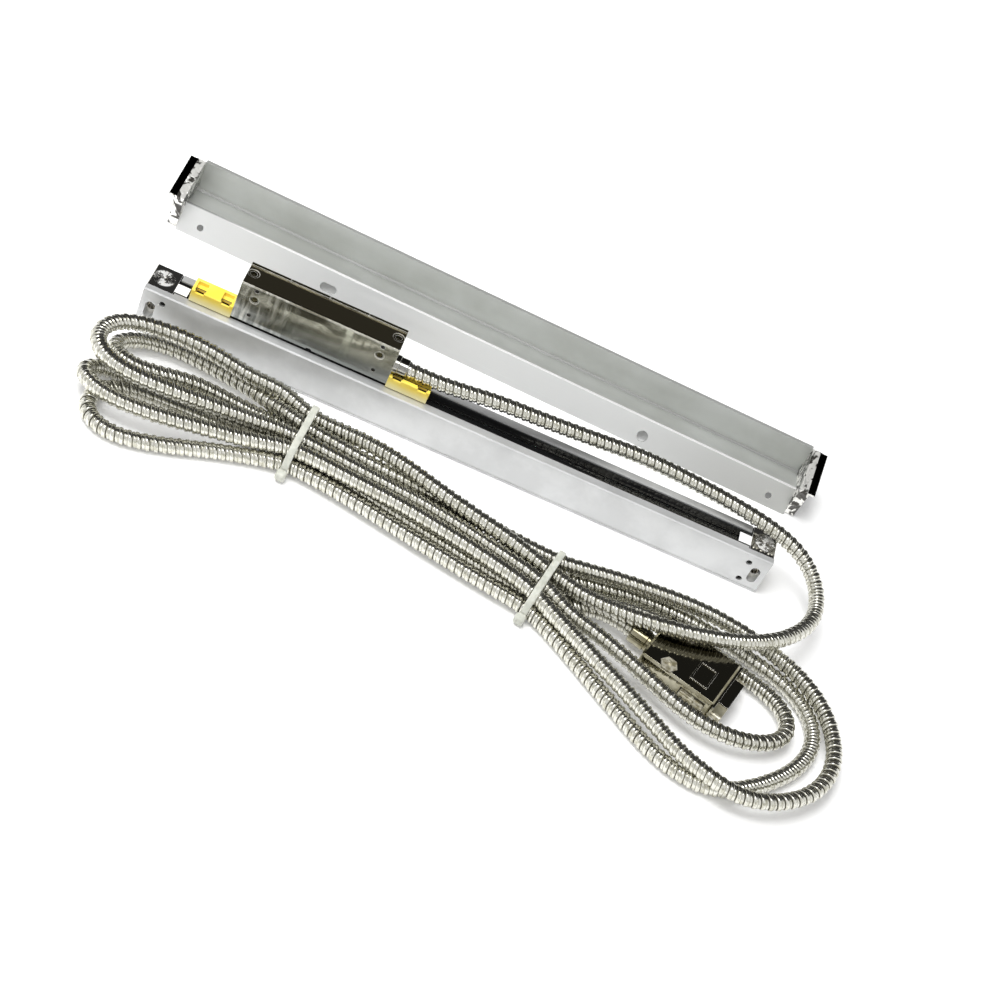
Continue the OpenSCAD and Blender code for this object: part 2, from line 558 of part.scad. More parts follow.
tie_left = [-65, -46];
tie_right = [58, -68];
hank_turn = atan2(tie_right[1] - tie_left[1], tie_right[0] - tie_left[0]);
hank_w = 4.5 * cable_d;
tie_r = 4;
tie_clear = 0.1;
module hank_outline() {
    // left loops
    hull() {
        translate([-146, -45]) circle(22);
        translate([-136, -66]) circle(21);
        translate(tie_left) rotate(hank_turn) square([4, hank_w], center = true);
    }
    // waist between the two ties
    translate((tie_left + tie_right) / 2) rotate(hank_turn)
        square([norm(tie_right - tie_left), hank_w], center = true);
    // right loops
    hull() {
        translate([150, -64]) circle(22);
        translate([171, -96]) circle(37);
        translate([150, -119]) circle(22);
        translate(tie_right) rotate(hank_turn) square([4, hank_w], center = true);
    }
}
module cable_hank() color([0.62, 0.62, 0.58]) difference() {
    linear_extrude(hank_h) hank_outline();
    // the ties run under and over the bundle
    for (t = [tie_left, tie_right]) translate(t) rotate(hank_turn) difference() {
        translate([-tie_w / 2 - 0.9, -hank_w, -1]) cube([tie_w + 1.8, 2 * hank_w, hank_h + 2]);
        bar(tie_outline(tie_t + tie_clear), -tie_w, tie_w);
    }
    // the plug lies in the inner loop
    at_plug() translate([0, 0, -1]) linear_extrude(hank_h + 2)
        translate([-hood_e - ferrule_len, -hood_w / 2 - 2.5])
            square([hood_len + ferrule_len + shell_len + 4, hood_w + 5]);
}

// section round the bundle, drawn in by g from the tie's outer face
function tie_outline(g) = [for (q = [[1, 1, 0], [-1, 1, 90], [-1, -1, 180], [1, -1, 270]], a = [0:15:90])
    [q[0] * (hank_w / 2 - tie_r) + (tie_r - g) * cos(q[2] + a),
        hank_h / 2 + q[1] * (hank_h / 2 - tie_r) + (tie_r - g) * sin(q[2] + a)]];

// a tie round the bundle with its lock on the front side
module cable_tie(t) color([0.9, 0.9, 0.88]) translate(t) rotate(hank_turn) difference() {
    union() {
        bar(tie_outline(0), -tie_w / 2, tie_w / 2);
        translate([-tie_w / 2 - 0.8, -hank_w / 2 - 3.2, 2.6]) cube([tie_w + 1.6, 3.6, 5.2]);
    }
    bar(tie_outline(tie_t), -tie_w, tie_w);
}
module cable_tie_left() cable_tie(tie_left);
module cable_tie_right() cable_tie(tie_right);

// ---- plug ----
hood_r = 2;
hood_edge = 1;
recess_x = 3;
skin_t = 2.5;
nut_x = -6.6;
nut_y = screw_pitch / 2 - 1.5;
module hood_outline() polygon([for (q = [[1, 1, 0], [-1, 1, 90], [-1, -1, 180], [1, -1, 270]], a = [0:15:90])
    [q[0] * (hood_e - hood_r) + hood_r * cos(q[2] + a), q[1] * (hood_w / 2 - hood_r) + hood_r * sin(q[2] + a)]]);
// section of the hood with chamfered edges, w half the width
function hood_section(w) = [[-w + hood_edge, 0], [w - hood_edge, 0], [w, hood_edge], [w, hood_h - hood_edge],
    [w - hood_edge, hood_h], [-w + hood_edge, hood_h], [-w, hood_h - hood_edge], [-w, hood_edge]];
module hood_half(z0, z1) difference() {
    intersection() {
        translate([0, 0, z0]) linear_extrude(z1 - z0) hood_outline();
        bar(hood_section(hood_w / 2), -hood_e, hood_e);
        rotate([0, 0, 90]) bar(hood_section(hood_e), -hood_w / 2, hood_w / 2);
    }
    translate([0, 0, shell_z]) {
        // bore for the cable ferrule and the screw shanks
        xrod(ferrule_r - 1.2, -hood_e - 1, -hood_e + 8, 0, 0);
        for (s = [-1, 1]) xrod(1.6, recess_x - 1, hood_e + 1, s * screw_pitch / 2, 0);
        // chamber with the soldered wires, and the seat of the insert
        box([-hood_e + 9.5, -8, -shell_z + 2], [hood_e - 6, 8, shell_z - 2]);
        box([hood_e - 6 - eps, -10, -5.5], [hood_e + 1, 10, 5.5]);
        // side recesses for the two thumbscrews, between the upper and the lower skin
        for (s = [-1, 1]) translate([0, s * (screw_pitch / 2 + 1), 0])
            box([recess_x, -4.6, skin_t - shell_z], [hood_e - 3, 4.6, shell_z - skin_t]);
    }
    for (s = [-1, 1]) translate([nut_x, s * nut_y, 0]) {
        zrod(1.5, -1, hood_h + 1, 0, 0);
        translate([0, 0, hood_h - 1.2]) cylinder(r = 4.35, h = 3, $fn = 6);
    }
}
module plug_hood_lower() color([0.62, 0.63, 0.64]) at_plug() hood_half(0, shell_z);
module plug_hood_upper() color([0.62, 0.63, 0.64]) at_plug() {
    hood_half(shell_z, hood_h);
    translate([8.2, -3.6, hood_h - eps]) linear_extrude(0.5) difference() {
        square([9, 12.4], center = true);
        square([7.4, 10.8], center = true);
    }
}
module shell_outline(g) polygon([[-8.2 - g, 4 + g], [8.2 + g, 4 + g], [7 + g, -4 - g], [-7 - g, -4 - g]]);
module plug_shell() color([0.78, 0.78, 0.78]) at_plug() translate([0, 0, shell_z]) difference() {
    union() {
        box([hood_e, -15.4, -6.2], [hood_e + 1, 15.4, 6.2]);
        translate([hood_e, 0, 0]) rotate([90, 0, 90]) linear_extrude(shell_len) shell_outline(0.5);
    }
    translate([hood_e - 1, 0, 0]) rotate([90, 0, 90]) linear_extrude(shell_len + 2) shell_outline(0);
    for (s = [-1, 1]) xrod(1.6, hood_e - 1, hood_e + 2, s * screw_pitch / 2, 0);
}
module plug_insert() color([0.07, 0.07, 0.08]) at_plug() translate([0, 0, shell_z]) difference() {
    union() {
        box([hood_e - 5.8, -9.6, -5], [hood_e, 9.6, 5]);
        translate([hood_e - eps, 0, 0]) rotate([90, 0, 90]) linear_extrude(shell_len - 0.4) shell_outline(-0.1);
    }
    for (k = [-2:2]) xrod(0.55, hood_e, hood_e + shell_len, k * 2.76, 1.42);
    for (k = [-1.5:1.5]) xrod(0.55, hood_e, hood_e + shell_len, k * 2.76, -1.42);
}
module plug_ferrule() color([0.75, 0.75, 0.76]) at_plug() translate([-hood_e, 0, shell_z]) rotate([0, 90, 0])
    rotate_extrude() polygon([[0, -ferrule_len], [ferrule_r - 0.5, -ferrule_len], [ferrule_r, -ferrule_len + 0.5],
        [ferrule_r, -2], [ferrule_r - 0.5, -1.6], [ferrule_r - 0.5, -0.4], [ferrule_r, 0],
        [ferrule_r - 1.25, 0], [ferrule_r - 1.25, 7.5], [0, 7.5]]);
module plug_hood_screws() color([0.7, 0.7, 0.72]) at_plug() for (s = [-1, 1]) translate([nut_x, s * nut_y, 0])
    difference() {
        union() {
            zrod(1.45, 2, hood_h, 0, 0);
            translate([0, 0, hood_h - 1.2]) cylinder(r = 4.2, h = 1.6, $fn = 6);
        }
        translate([0, 0, hood_h - 0.6]) hex_socket(1.3, 2);
    }
module thumbscrew(s) color([0.72, 0.72, 0.73]) at_plug() translate([0, s * screw_pitch / 2, shell_z]) {
    xrod(1.5, recess_x + 0.3, hood_e + shell_len, 0, 0);
    difference() {
        xrod(3, recess_x + 0.6, recess_x + 7.6, 0, 0);
        for (a = [0:30:330]) rotate([a, 0, 0]) xrod(0.45, recess_x, recess_x + 8, 3.1, 0);
    }
    xrod(2.2, recess_x + 7.6 - eps, hood_e - 3.3, 0, 0);
}
module thumbscrew_front() thumbscrew(-1);
module thumbscrew_back() thumbscrew(1);

// ---- dust cover ----
function normal_in(d) = [d[1], -d[0]];
function meet(p, d, q, e) = p + d * ((q[0] - p[0]) * e[1] - (q[1] - p[1]) * e[0]) / (d[0] * e[1] - d[1] * e[0]);
cov_foot_in = meet(cov_foot + cover_t * normal_in(cov_face), cov_face, [0, 0], [1, 0]);
cov_ridge_in = meet(cov_foot + cover_t * normal_in(cov_face), cov_face,
    cov_ridge + cover_t * normal_in(cov_web), cov_web);
cov_bend_in = meet(cov_ridge + cover_t * normal_in(cov_web), cov_web,
    cov_bend + cover_t * normal_in(cov_wall), cov_wall);
cov_rim_in = cov_rim + cover_t * normal_in(cov_wall);
module dust_cover() color([0.78, 0.79, 0.79]) at_cover() difference() {
    bar([cov_foot, cov_foot_in, cov_ridge_in, cov_bend_in, cov_rim_in, cov_rim,
        cov_bend + 1.2 * cov_wall, cov_bend - 1.4 * cov_web, cov_ridge + 0.7 * cov_web,
        cov_ridge - 0.7 * cov_face], -cover_len / 2, cover_len / 2);
    for (x = [-cover_pitch / 2, cover_pitch / 2]) cover_bore(cover_hole_d, x);
    // service holes: a round one and an oblong one
    cover_bore(5.5, 83.3);
    for (x = [-oblong_w / 2, oblong_w / 2]) cover_bore(4, oblong_x + x);
    at_cover_hole(oblong_x) cube([oblong_w, 4, 8], center = true);
}
oblong_x = -83.95;
oblong_w = 4.5;
module at_cover_hole(x) {
    p = cov_foot + cover_hole_up * cov_face;
    translate([x, p[0], p[1]]) rotate([atan2(cov_face[1], cov_face[0]), 0, 0]) children();
}
module cover_bore(d, x) at_cover_hole(x) cylinder(d = d, h = 8, center = true);

// pressed cap: a flanged top edge stands out past its end
cap_front = [cov_foot[0] - 0.8, 19.8];
cap_back = cov_rim + [-1.5, 1];
cap_back_foot = [cov_bend[0] + 1.7, 0];
module cover_cap() color([0.45, 0.45, 0.46]) {
    bar([cov_foot + [2.4, 0], cap_back_foot, cap_back_foot + [0.8, 0.8], cov_rim + [-0.3, 0.4], cap_back,
        cap_front, cap_front + [-0.6, -0.9], cov_foot + [1.6, 0.8]], cover_len / 2, cap_half);
    bar([cap_back + [0, -1], cap_back, cap_front, cap_front + [0, -1]], cap_half - eps, cap_half + cap_flange);
    // block behind the web that takes the cap's screw
    bar([[66, 0], [78, 0], [78, cov_bend_in[1] + 1.3], [66, cov_bend_in[1] + 5.2]],
        cover_len / 2 - 7, cover_len / 2 + eps);
}
module cover_cap_right() at_cover() cover_cap();
module cover_cap_left() at_cover() mirror([1, 0, 0]) cover_cap();

housing_extrusion();
end_block_left();
end_block_right();
end_gaskets();
block_screws();
glass_scale();
glass_seat();
seal_lip_front();
seal_lip_back();
head_housing();
head_back_plate();
head_screws();
circuit_board();
cable_gland();
coupling_blade();
coupling_spring();
carriage_frame();
bearing_pins();
light_source();
photocell_board();
index_grating();
guide_bearing_low_left();
guide_bearing_low_right();
guide_bearing_middle();
guide_bearing_top_left();
guide_bearing_top_right();
transport_bracket_left();
transport_bracket_right();
cable_tube();
cable_hank();
cable_tie_left();
cable_tie_right();
plug_hood_lower();
plug_hood_upper();
plug_shell();
plug_insert();
plug_ferrule();
plug_hood_screws();
thumbscrew_front();
thumbscrew_back();
dust_cover();
cover_cap_left();
cover_cap_right();
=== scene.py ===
# sealed linear encoder: glass scale, reading head, armoured cable with its plug, loose dust cover
import math

import bpy
import numpy as np
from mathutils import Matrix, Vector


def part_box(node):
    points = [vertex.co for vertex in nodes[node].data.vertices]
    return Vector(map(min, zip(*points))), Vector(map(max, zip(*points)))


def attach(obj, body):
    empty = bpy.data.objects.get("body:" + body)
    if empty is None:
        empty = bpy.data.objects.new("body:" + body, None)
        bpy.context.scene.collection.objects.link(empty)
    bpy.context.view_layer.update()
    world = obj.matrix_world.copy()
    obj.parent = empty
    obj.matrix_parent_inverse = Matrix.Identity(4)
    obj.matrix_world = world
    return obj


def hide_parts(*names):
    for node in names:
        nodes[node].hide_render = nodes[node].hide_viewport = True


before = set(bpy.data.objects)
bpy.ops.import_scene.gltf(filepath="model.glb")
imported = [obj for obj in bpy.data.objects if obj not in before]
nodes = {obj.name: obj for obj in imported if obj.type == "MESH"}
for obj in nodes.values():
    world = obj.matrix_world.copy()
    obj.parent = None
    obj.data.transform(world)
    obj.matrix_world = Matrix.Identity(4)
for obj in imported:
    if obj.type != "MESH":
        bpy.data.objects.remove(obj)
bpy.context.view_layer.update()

scene = bpy.context.scene
mm = 0.001    # metres
tiny = 1e-6   # keeps a division from meeting 0

cameraSet = {"place": (-0.0464, -0.7031, 0.6574),  # metres
             "turn": (42.654, -19.887, 13.838),    # degrees
             "lens": 74.74, "sensor": 36.0,        # millimetres
             "shift": (-0.0027, 0.0011), "sees": (0.01, 20)}


def makeCamera(c):
    data = bpy.data.cameras.new("camera")
    data.lens, data.sensor_width = c["lens"], c["sensor"]
    data.shift_x, data.shift_y = c["shift"]
    data.clip_start, data.clip_end = c["sees"]
    eye = bpy.data.objects.new("camera", data)
    eye.location = c["place"]
    eye.rotation_euler = [math.radians(a) for a in c["turn"]]
    scene.collection.objects.link(eye)
    scene.camera = eye


makeCamera(cameraSet)
print("camera placed")


# a piece from its points in metres, its faces as lists of point numbers, and a UV pair for each face corner
def meshPiece(name, points, faces, uv=None, smooth=True):
    mesh = bpy.data.meshes.new(name)
    mesh.from_pydata(np.asarray(points, float).reshape(-1, 3).tolist(), [], faces)
    if uv is not None:
        layer = mesh.uv_layers.new(name="along")
        layer.data.foreach_set("uv", np.asarray(uv, float).ravel())
    mesh.polygons.foreach_set("use_smooth", [smooth] * len(mesh.polygons))
    mesh.validate()
    piece = bpy.data.objects.new(name, mesh)
    scene.collection.objects.link(piece)
    return piece


# smooth curve through the route's points: each point's time grows by the square root of the distance to the
# next, and a stretch is a blend of two blends of three straight lines, all weighted by that time
def smoothRoute(route, step, samples=24):
    p = np.vstack([2 * route[0] - route[1], route, 2 * route[-1] - route[-2]])
    gap = np.linalg.norm(np.diff(p, axis=0), axis=1) ** 0.5
    t = np.concatenate([[0], np.cumsum(gap)])
    out = []
    for i in range(1, len(p) - 2):
        s = np.linspace(t[i], t[i + 1], samples, endpoint=False)[:, None]
        a = [p[i - 1 + k] * (t[i + k] - s) / (t[i + k] - t[i + k - 1])
             + p[i + k] * (s - t[i + k - 1]) / (t[i + k] - t[i + k - 1]) for k in range(3)]
        b = [a[k] * (t[i + 1 + k] - s) / (t[i + 1 + k] - t[i - 1 + k])
             + a[k + 1] * (s - t[i - 1 + k]) / (t[i + 1 + k] - t[i - 1 + k]) for k in range(2)]
        out.append(b[0] * (t[i + 1] - s) / (t[i + 1] - t[i]) + b[1] * (s - t[i]) / (t[i + 1] - t[i]))
    out = np.vstack(out + [p[-2:-1]])
    return evenSteps(out, step)


# points at even distances along a line of points
def evenSteps(p, step):
    run = np.concatenate([[0], np.cumsum(np.linalg.norm(np.diff(p, axis=0), axis=1))])
    s = np.linspace(0, run[-1], int(round(run[-1] / step)) + 1)
    return np.stack([np.interp(s, run, p[:, k]) for k in range(3)], 1)


# two directions across a path, square to each other: each step takes the last one and removes its share along
# the path, so nothing twists
def acrossPath(p):
    way = np.gradient(p, axis=0)
    way /= np.linalg.norm(way, axis=1)[:, None]
    u = np.zeros_like(p)
    u[0] = np.cross(way[0], [0, 0, 1])
    u[0] /= np.linalg.norm(u[0])
    for i in range(1, len(p)):
        v = u[i - 1] - (u[i - 1] @ way[i]) * way[i]
        u[i] = v / np.linalg.norm(v)
    return u, np.cross(way, u)


# armoured cable, in millimetres and degrees; the strip's profile is in shares of a turn and of the groove
cable = {"diameter": 7.7, "pitch": 3.7, "groove": 0.8, "sides": 12, "wobble": 0.045, "seed": 11,
         "fineStep": 0.3,
         "strip": ((0.0, 1.0), (0.05, 0.4), (0.13, 0.04), (0.33, 0.0), (0.47, 0.1),
                   (0.55, 0.75), (0.66, 0.42), (0.82, 0.42), (0.93, 0.95)),
         "tieLeft": (-65, -46), "tieRight": (58, -68), "plugAt": (130, -79.8, 7.5), "plugTurn": -17.7,
         "hoodHalf": 19, "hoodSide": 15, "ferrule": 10, "plugLead": 9}
# how the strands settle: rounds, points between two that can touch, points held at the ends, shares of each
# move in a round, height from which a strand passes over the hood, margins round it and gaps left, in
# millimetres, and the rounds that even out bends on the coarse and the fine path
settling = {"rounds": 140, "apart": 9, "heldFirst": 6, "heldLast": 4,
            "push": 0.55, "straighten": 0.5, "pullBack": 0.02,
            "overFrom": 13, "overMargin": 3, "besideMargin": 1,
            "overGap": 0.3, "besideGap": 0.2, "floorGap": 0.1,
            "coarseRounds": 14, "fineRounds": 30, "coarseHeld": 3, "fineHeld": 4}

# free stretch from the gland, as points from the gland's mouth
freeStretch = [
    (0, 0, 0), (14, 0, 0), (29, 0.9, 1), (44, 3, 1.3), (59, 4.5, 0.8), (74, 6.5, 0),
    (93, 9, -0.6), (113, 12, -1.6), (134, 11.7, -2.1), (154, 10, -2.5), (173, 7.5, -3.2),
    (190, 4.5, -5.2), (200, 2.5, -8.2), (207, -1.5, -11.2), (213, -8.5, -14.2),
    (215, -20.5, -15.7), (213, -31.5, -15.2), (207, -41.5, -14.2), (199, -51.5, -12.7),
    (189, -59.5, -11.5), (175, -66.5, -10.9), (158, -71.5, -11), (143, -73.5, -11.8),
    (130, -72.5, -14.7), (119, -70.5, -17.2)]
# over the bundle to the left tie, and a later run between the ties
intoBundle = [(76, -68, 11.6), (30, -56.5, 15.2), (-1, -49.5, 17.8), (-32, -41, 14.8)]
backOver = [(-1, -47.5, 10.2)]
# the loops beyond the two ties
leftOuter = [(-82, -30, 12), (-95, -28, 14.5), (-121, -26, 18), (-144, -28, 19), (-158, -33, 19.3),
             (-164, -42, 19.3), (-163, -50, 19), (-156, -57, 19), (-141, -60, 18.5), (-122, -58, 17),
             (-95, -52, 13.5)]
leftSecond = [(-82, -32, 9.5), (-95, -26.5, 7), (-107, -23.3, 5), (-122, -20.6, 4.2), (-137, -20.6, 4.2),
              (-148, -24, 4.5), (-155.5, -30.5, 6), (-157.5, -38.5, 8.4), (-152.5, -45.7, 11.2),
              (-140, -48, 11.6), (-129, -45.5, 11), (-115, -41.5, 8.5), (-97, -38, 5), (-80, -37, 4)]
leftThird = [(-84, -45, 3.9), (-110, -46, 3.9), (-136, -46.5, 3.9), (-150, -48.5, 4.2), (-158.5, -51.5, 6),
             (-163.5, -57.5, 9), (-161.5, -65, 11), (-153, -69.5, 11.3), (-142, -71, 11.5), (-127, -70, 11.3),
             (-105, -65, 10.8), (-83, -60, 10.6)]
leftLow = [(-80, -63, 3.9), (-95, -68, 3.9), (-122, -79.5, 3.9), (-141, -83.5, 3.9), (-152, -79, 3.9),
           (-156, -71, 3.9), (-154, -62, 3.9), (-145, -56, 3.9), (-122, -53, 3.9), (-95, -53, 3.9)]
rightInner = [(64, -76, 10.5), (89, -85, 10.5), (111, -95, 10.5), (132, -105, 10.3), (148, -108.5, 9.8),
              (160, -107, 9), (174, -101, 8), (182, -90, 7), (178, -78, 6), (169, -71, 5), (156, -66, 4),
              (137, -59.5, 3.9), (118, -54.5, 3.9), (99, -55, 3.9), (78, -60, 3.9)]
rightOuter = [(66, -84.5, 10.5), (82, -94, 10.5), (103, -107, 10.5), (126, -122.5, 10.5), (139, -131, 10.3),
              (153, -136, 10.2), (168, -137, 9.8), (181, -132, 9.5), (197, -118, 9), (204, -98, 9),
              (200, -80, 9), (186, -63, 9.2), (169, -52, 9.5), (147, -46, 10), (121, -46, 10.5),
              (92, -49, 10.5), (74, -52, 10.5)]
rightLow = [(80, -53, 3.9), (108, -47.5, 3.9), (137, -49, 3.9), (158, -54.5, 3.9), (175, -59.5, 3.9),
            (189, -69, 3.9), (195, -83, 3.9), (192, -99, 3.9), (183, -113, 3.9), (168, -127, 3.9),
            (158, -133, 3.9), (146, -135, 3.9), (126, -129, 3.9), (108, -117, 3.9), (86, -101, 3.9),
            (68, -88, 3.9)]
toPlug = [(70, -68.5, 4.4), (82, -66, 5.8)]
# places of the strands under a tie: offsets across the bundle in two layers, and the layers' heights
tieLanes = {"low": (9.6, 1.9, -5.8, -13.5), "high": (13.5, 5.8, -1.9, -9.6), "lowZ": 4.9, "highZ": 11.3}


# the bundle's direction on the floor, from tie to tie
def bundleTurn():
    left, right = cable["tieLeft"], cable["tieRight"]
    return math.atan2(right[1] - left[1], right[0] - left[0])


# a strand's place under a tie: its lane's offset square to the bundle, and its layer's height
def lane(tie, layer, n):
    turn, off = bundleTurn(), tieLanes[layer][n]
    x, y = cable[tie]
    return (x - off * math.sin(turn), y + off * math.cos(turn), tieLanes[layer + "Z"])


# the whole route: the free stretch, then from tie to tie and round the loops, and into the plug's ferrule
def cablePoints():
    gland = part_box("cable_gland")
    low, high = np.array(gland[0]) / mm, np.array(gland[1]) / mm
    mouth = np.array([high[0], (low[1] + high[1]) / 2, (low[2] + high[2]) / 2])
    turn = math.radians(cable["plugTurn"])
    along = np.array([math.cos(turn), math.sin(turn), 0])
    entry = np.array(cable["plugAt"]) - along * (cable["hoodHalf"] + cable["ferrule"])
    start = [tuple(mouth + np.array(q)) for q in freeStretch]
    left, right = "tieLeft", "tieRight"
    wound = (intoBundle[:1] + [lane(right, "high", 1)] + intoBundle[1:] + [lane(left, "high", 0)] + leftOuter
             + [lane(left, "high", 2), lane(right, "high", 2)] + rightInner
             + [lane(right, "low", 1), lane(left, "low", 1)] + leftThird
             + [lane(left, "high", 3), lane(right, "high", 3)] + rightOuter
             + [lane(right, "high", 0)] + backOver + [lane(left, "high", 1)] + leftSecond
             + [lane(left, "low", 0), lane(right, "low", 0)] + rightLow
             + [lane(right, "low", 3), lane(left, "low", 3)] + leftLow
             + [lane(left, "low", 2), lane(right, "low", 2)] + toPlug
             + [tuple(entry - along * cable["plugLead"]), tuple(entry)])
    return np.array(start + wound, float)


# lets the strands settle: neighbours push apart to one diameter, the floor and the hood hold them, bends even
# out by the fourth difference along the path, and every point is drawn back a little to where it was laid
def settle(p, c):
    d, hood = cable["diameter"], cable["plugAt"]
    laid = p.copy()
    n = len(p)
    far = np.abs(np.subtract.outer(np.arange(n), np.arange(n))) > c["apart"]
    turn = math.radians(cable["plugTurn"])
    along, across = np.array([math.cos(turn), math.sin(turn)]), np.array([-math.sin(turn), math.cos(turn)])
    free = np.ones((n, 1))
    free[:c["heldFirst"]] = free[-c["heldLast"]:] = 0
    for r in range(c["rounds"]):
        gap = p[:, None] - p[None]
        dist = np.sqrt((gap ** 2).sum(-1)) + tiny
        near = far & (dist < d)
        push = (gap * (near * (d - dist) / dist)[..., None]).sum(1)
        count = np.maximum(near.sum(1), 1)[:, None]
        bend = np.zeros_like(p)
        bend[2:-2] = (-p[:-4] + 4 * p[1:-3] - 6 * p[2:-2] + 4 * p[3:-1] - p[4:]) / 16
        p = p + free * (c["push"] * push / count + c["straighten"] * bend + c["pullBack"] * (laid - p))
        rel = p[:, :2] - np.array(hood[:2])
        u, v = rel @ along, rel @ across
        inside = (np.abs(u) < cable["hoodHalf"] + c["overMargin"]) & (np.abs(v) < cable["hoodSide"] + d / 2)
        lift = inside & (p[:, 2] > c["overFrom"])
        out = inside & ~lift & (np.abs(u) < cable["hoodHalf"] + c["besideMargin"])
        p[lift, 2] = np.maximum(p[lift, 2], 2 * hood[2] + d / 2 + c["overGap"])
        beside = np.sign(v) * (cable["hoodSide"] + d / 2 + c["besideGap"]) - v
        p[out, :2] += (across[None] * beside[:, None])[out]
        p[:, 2] = np.maximum(p[:, 2], d / 2 + c["floorGap"])
    return p


# an interlocked strip wound round the path: each strip edge lies on a helix, and across the strip the
# radius rises from the groove to the crown and falls back to the next groove. A column is one slice across the
# strip, k columns make a turn, n points lie across a column, and one face closes each end
def stripMesh(path, length, rng):
    c, k = cable, cable["sides"]
    across, depth = np.array(c["strip"]).T
    n = len(across)
    turns = round(length / c["pitch"])
    pitch = length / turns
    u, v = acrossPath(path)
    run = np.linspace(-pitch, length + pitch, len(path))

    def at(values, s):
        return np.stack([np.interp(s, run, values[:, i]) for i in range(3)], -1)

    columns = (turns + 1) * k
    col = np.concatenate([np.repeat(np.arange(columns + 1), n), np.arange(columns + 1, columns + 1 + k)])
    share = np.concatenate([np.tile(across, columns + 1), np.zeros(k)])
    deep = np.concatenate([np.tile(depth, columns + 1), np.full(k, depth[0])])
    s = pitch * (col / k + share) - pitch
    angle = 2 * math.pi * col / k
    wobble = np.interp(col / k, np.arange(turns + 4), rng.normal(0, c["wobble"], turns + 4))
    radius = c["diameter"] / 2 - c["groove"] * deep + wobble * (1 - deep)
    outwards = np.cos(angle)[:, None] * at(u, s) + np.sin(angle)[:, None] * at(v, s)
    point = at(path, s) + radius[:, None] * outwards

    # number of point b in column a: past the strip's edge it is the next turn's first point
    def index(a, b):
        wrap = b >= n
        a, b = a + k * wrap, b - n * wrap
        return np.where(a <= columns, a * n + b, (columns + 1) * n + a - columns - 1)

    a, b = [q.ravel() for q in np.meshgrid(np.arange(columns), np.arange(n), indexing="ij")]
    faces = np.stack([index(a, b), index(a, b + 1), index(a + 1, b + 1), index(a + 1, b)], -1)
    shares = np.append(across, 1.0)
    uv = np.stack([np.stack([shares[b + q], (a + p) / k], -1) for p, q in ((0, 0), (0, 1), (1, 1), (1, 0))], 1)
    rim = np.arange(k + 1)
    back = np.arange(n - 1, 0, -1)
    ends = [np.concatenate([index(rim, 0 * rim), index(0 * back, back)]),
            np.concatenate([index(columns + rim, 0 * rim), index(columns + 0 * back, back)])[::-1]]
    allFaces = faces.tolist() + [e.tolist() for e in ends]
    onEnds = np.full((sum(len(e) for e in ends), 2), 0.5)
    return point, allFaces, np.vstack([uv.reshape(-1, 2), onEnds])


# least radius of the circles through each point and the points a gap before and after it:
# the product of the triangle's sides over four times its area
def tightestBend(p, gap):
    a, b = p[gap:-gap] - p[:-2 * gap], p[2 * gap:] - p[gap:-gap]
    turn = np.linalg.norm(np.cross(a, b), axis=1)
    chord = np.linalg.norm(p[2 * gap:] - p[:-2 * gap], axis=1)
    radius = np.linalg.norm(a, axis=1) * np.linalg.norm(b, axis=1) * chord / np.maximum(2 * turn, tiny)
    return radius.min(), p[gap:-gap][radius.argmin()]


# evens out bends: each point moves half way to the middle of its neighbours, and a few at the ends are held
def relax(p, rounds, hold):
    for r in range(rounds):
        q = p.copy()
        q[hold:-hold] = (p[hold - 1:-hold - 1] + 2 * p[hold:-hold] + p[hold + 1:len(p) - hold + 1]) / 4
        p = q
    return p


def makeCable():
    path = settle(smoothRoute(cablePoints(), cable["diameter"] / 2), settling)
    path = relax(evenSteps(path, cable["diameter"] / 4), settling["coarseRounds"], settling["coarseHeld"])
    fine = relax(evenSteps(path, cable["fineStep"]), settling["fineRounds"], settling["fineHeld"])
    length = np.linalg.norm(np.diff(fine, axis=0), axis=1).sum()
    bend, where = tightestBend(fine, gap=8)
    print("tightest bend %.1f mm at" % bend, where.round(1))
    pitch = length / round(length / cable["pitch"])
    head, tail = fine[1] - fine[0], fine[-1] - fine[-2]
    longer = np.vstack([fine[0] - head / np.linalg.norm(head) * pitch, fine,
                        fine[-1] + tail / np.linalg.norm(tail) * pitch])
    dice = np.random.default_rng(cable["seed"])
    points, faces, uv = stripMesh(evenSteps(longer, cable["fineStep"]), length, dice)
    piece = meshPiece("armoured_cable", points * mm, faces, uv)
    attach(piece, "head")
    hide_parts("cable_tube", "cable_hank")
    print("cable laid, length %.3f m, %d faces" % (length * mm, len(faces)))
    return piece, fine, length


cablePiece, cablePath, cableLength = makeCable()


# nylon ties, in millimetres and degrees; headAt is the lock's place round the strap, in radians, ribSide the
# least sine of a section point that carries ribs, and squareness the power that makes a circle a rounded box
tie = {"width": 3.3, "thick": 1.15, "slack": 0.1, "ribs": 5, "ribHigh": 0.05, "ribSide": 0.3,
       "squareness": 0.45, "reach": 26, "directions": 241, "step": 0.9, "evenings": 3, "around": 29,
       "floorGap": 0.1, "seed": 5, "skewLeft": 7, "skewRight": -2, "headWide": 5.0, "headLong": 5.6,
       "headThick": 4.6, "headAt": -2.9, "headSquareness": 0.62, "headRings": 19, "headAround": 37,
       "headNoise": 0.02}


# keeps the sign: a power below 1 fills a sine wave out towards a square one
def squared(q, power):
    return np.sign(q) * np.abs(q) ** power


# quads between rows of points that close on themselves, and, if asked, between the last row and the first
def ringFaces(rows, sides, closed=False):
    i, j = np.meshgrid(np.arange(rows if closed else rows - 1), np.arange(sides), indexing="ij")
    after, beside = (i + 1) % rows * sides, (j + 1) % sides
    return np.stack([i * sides + j, i * sides + beside, after + beside, after + j], -1).reshape(-1, 4)


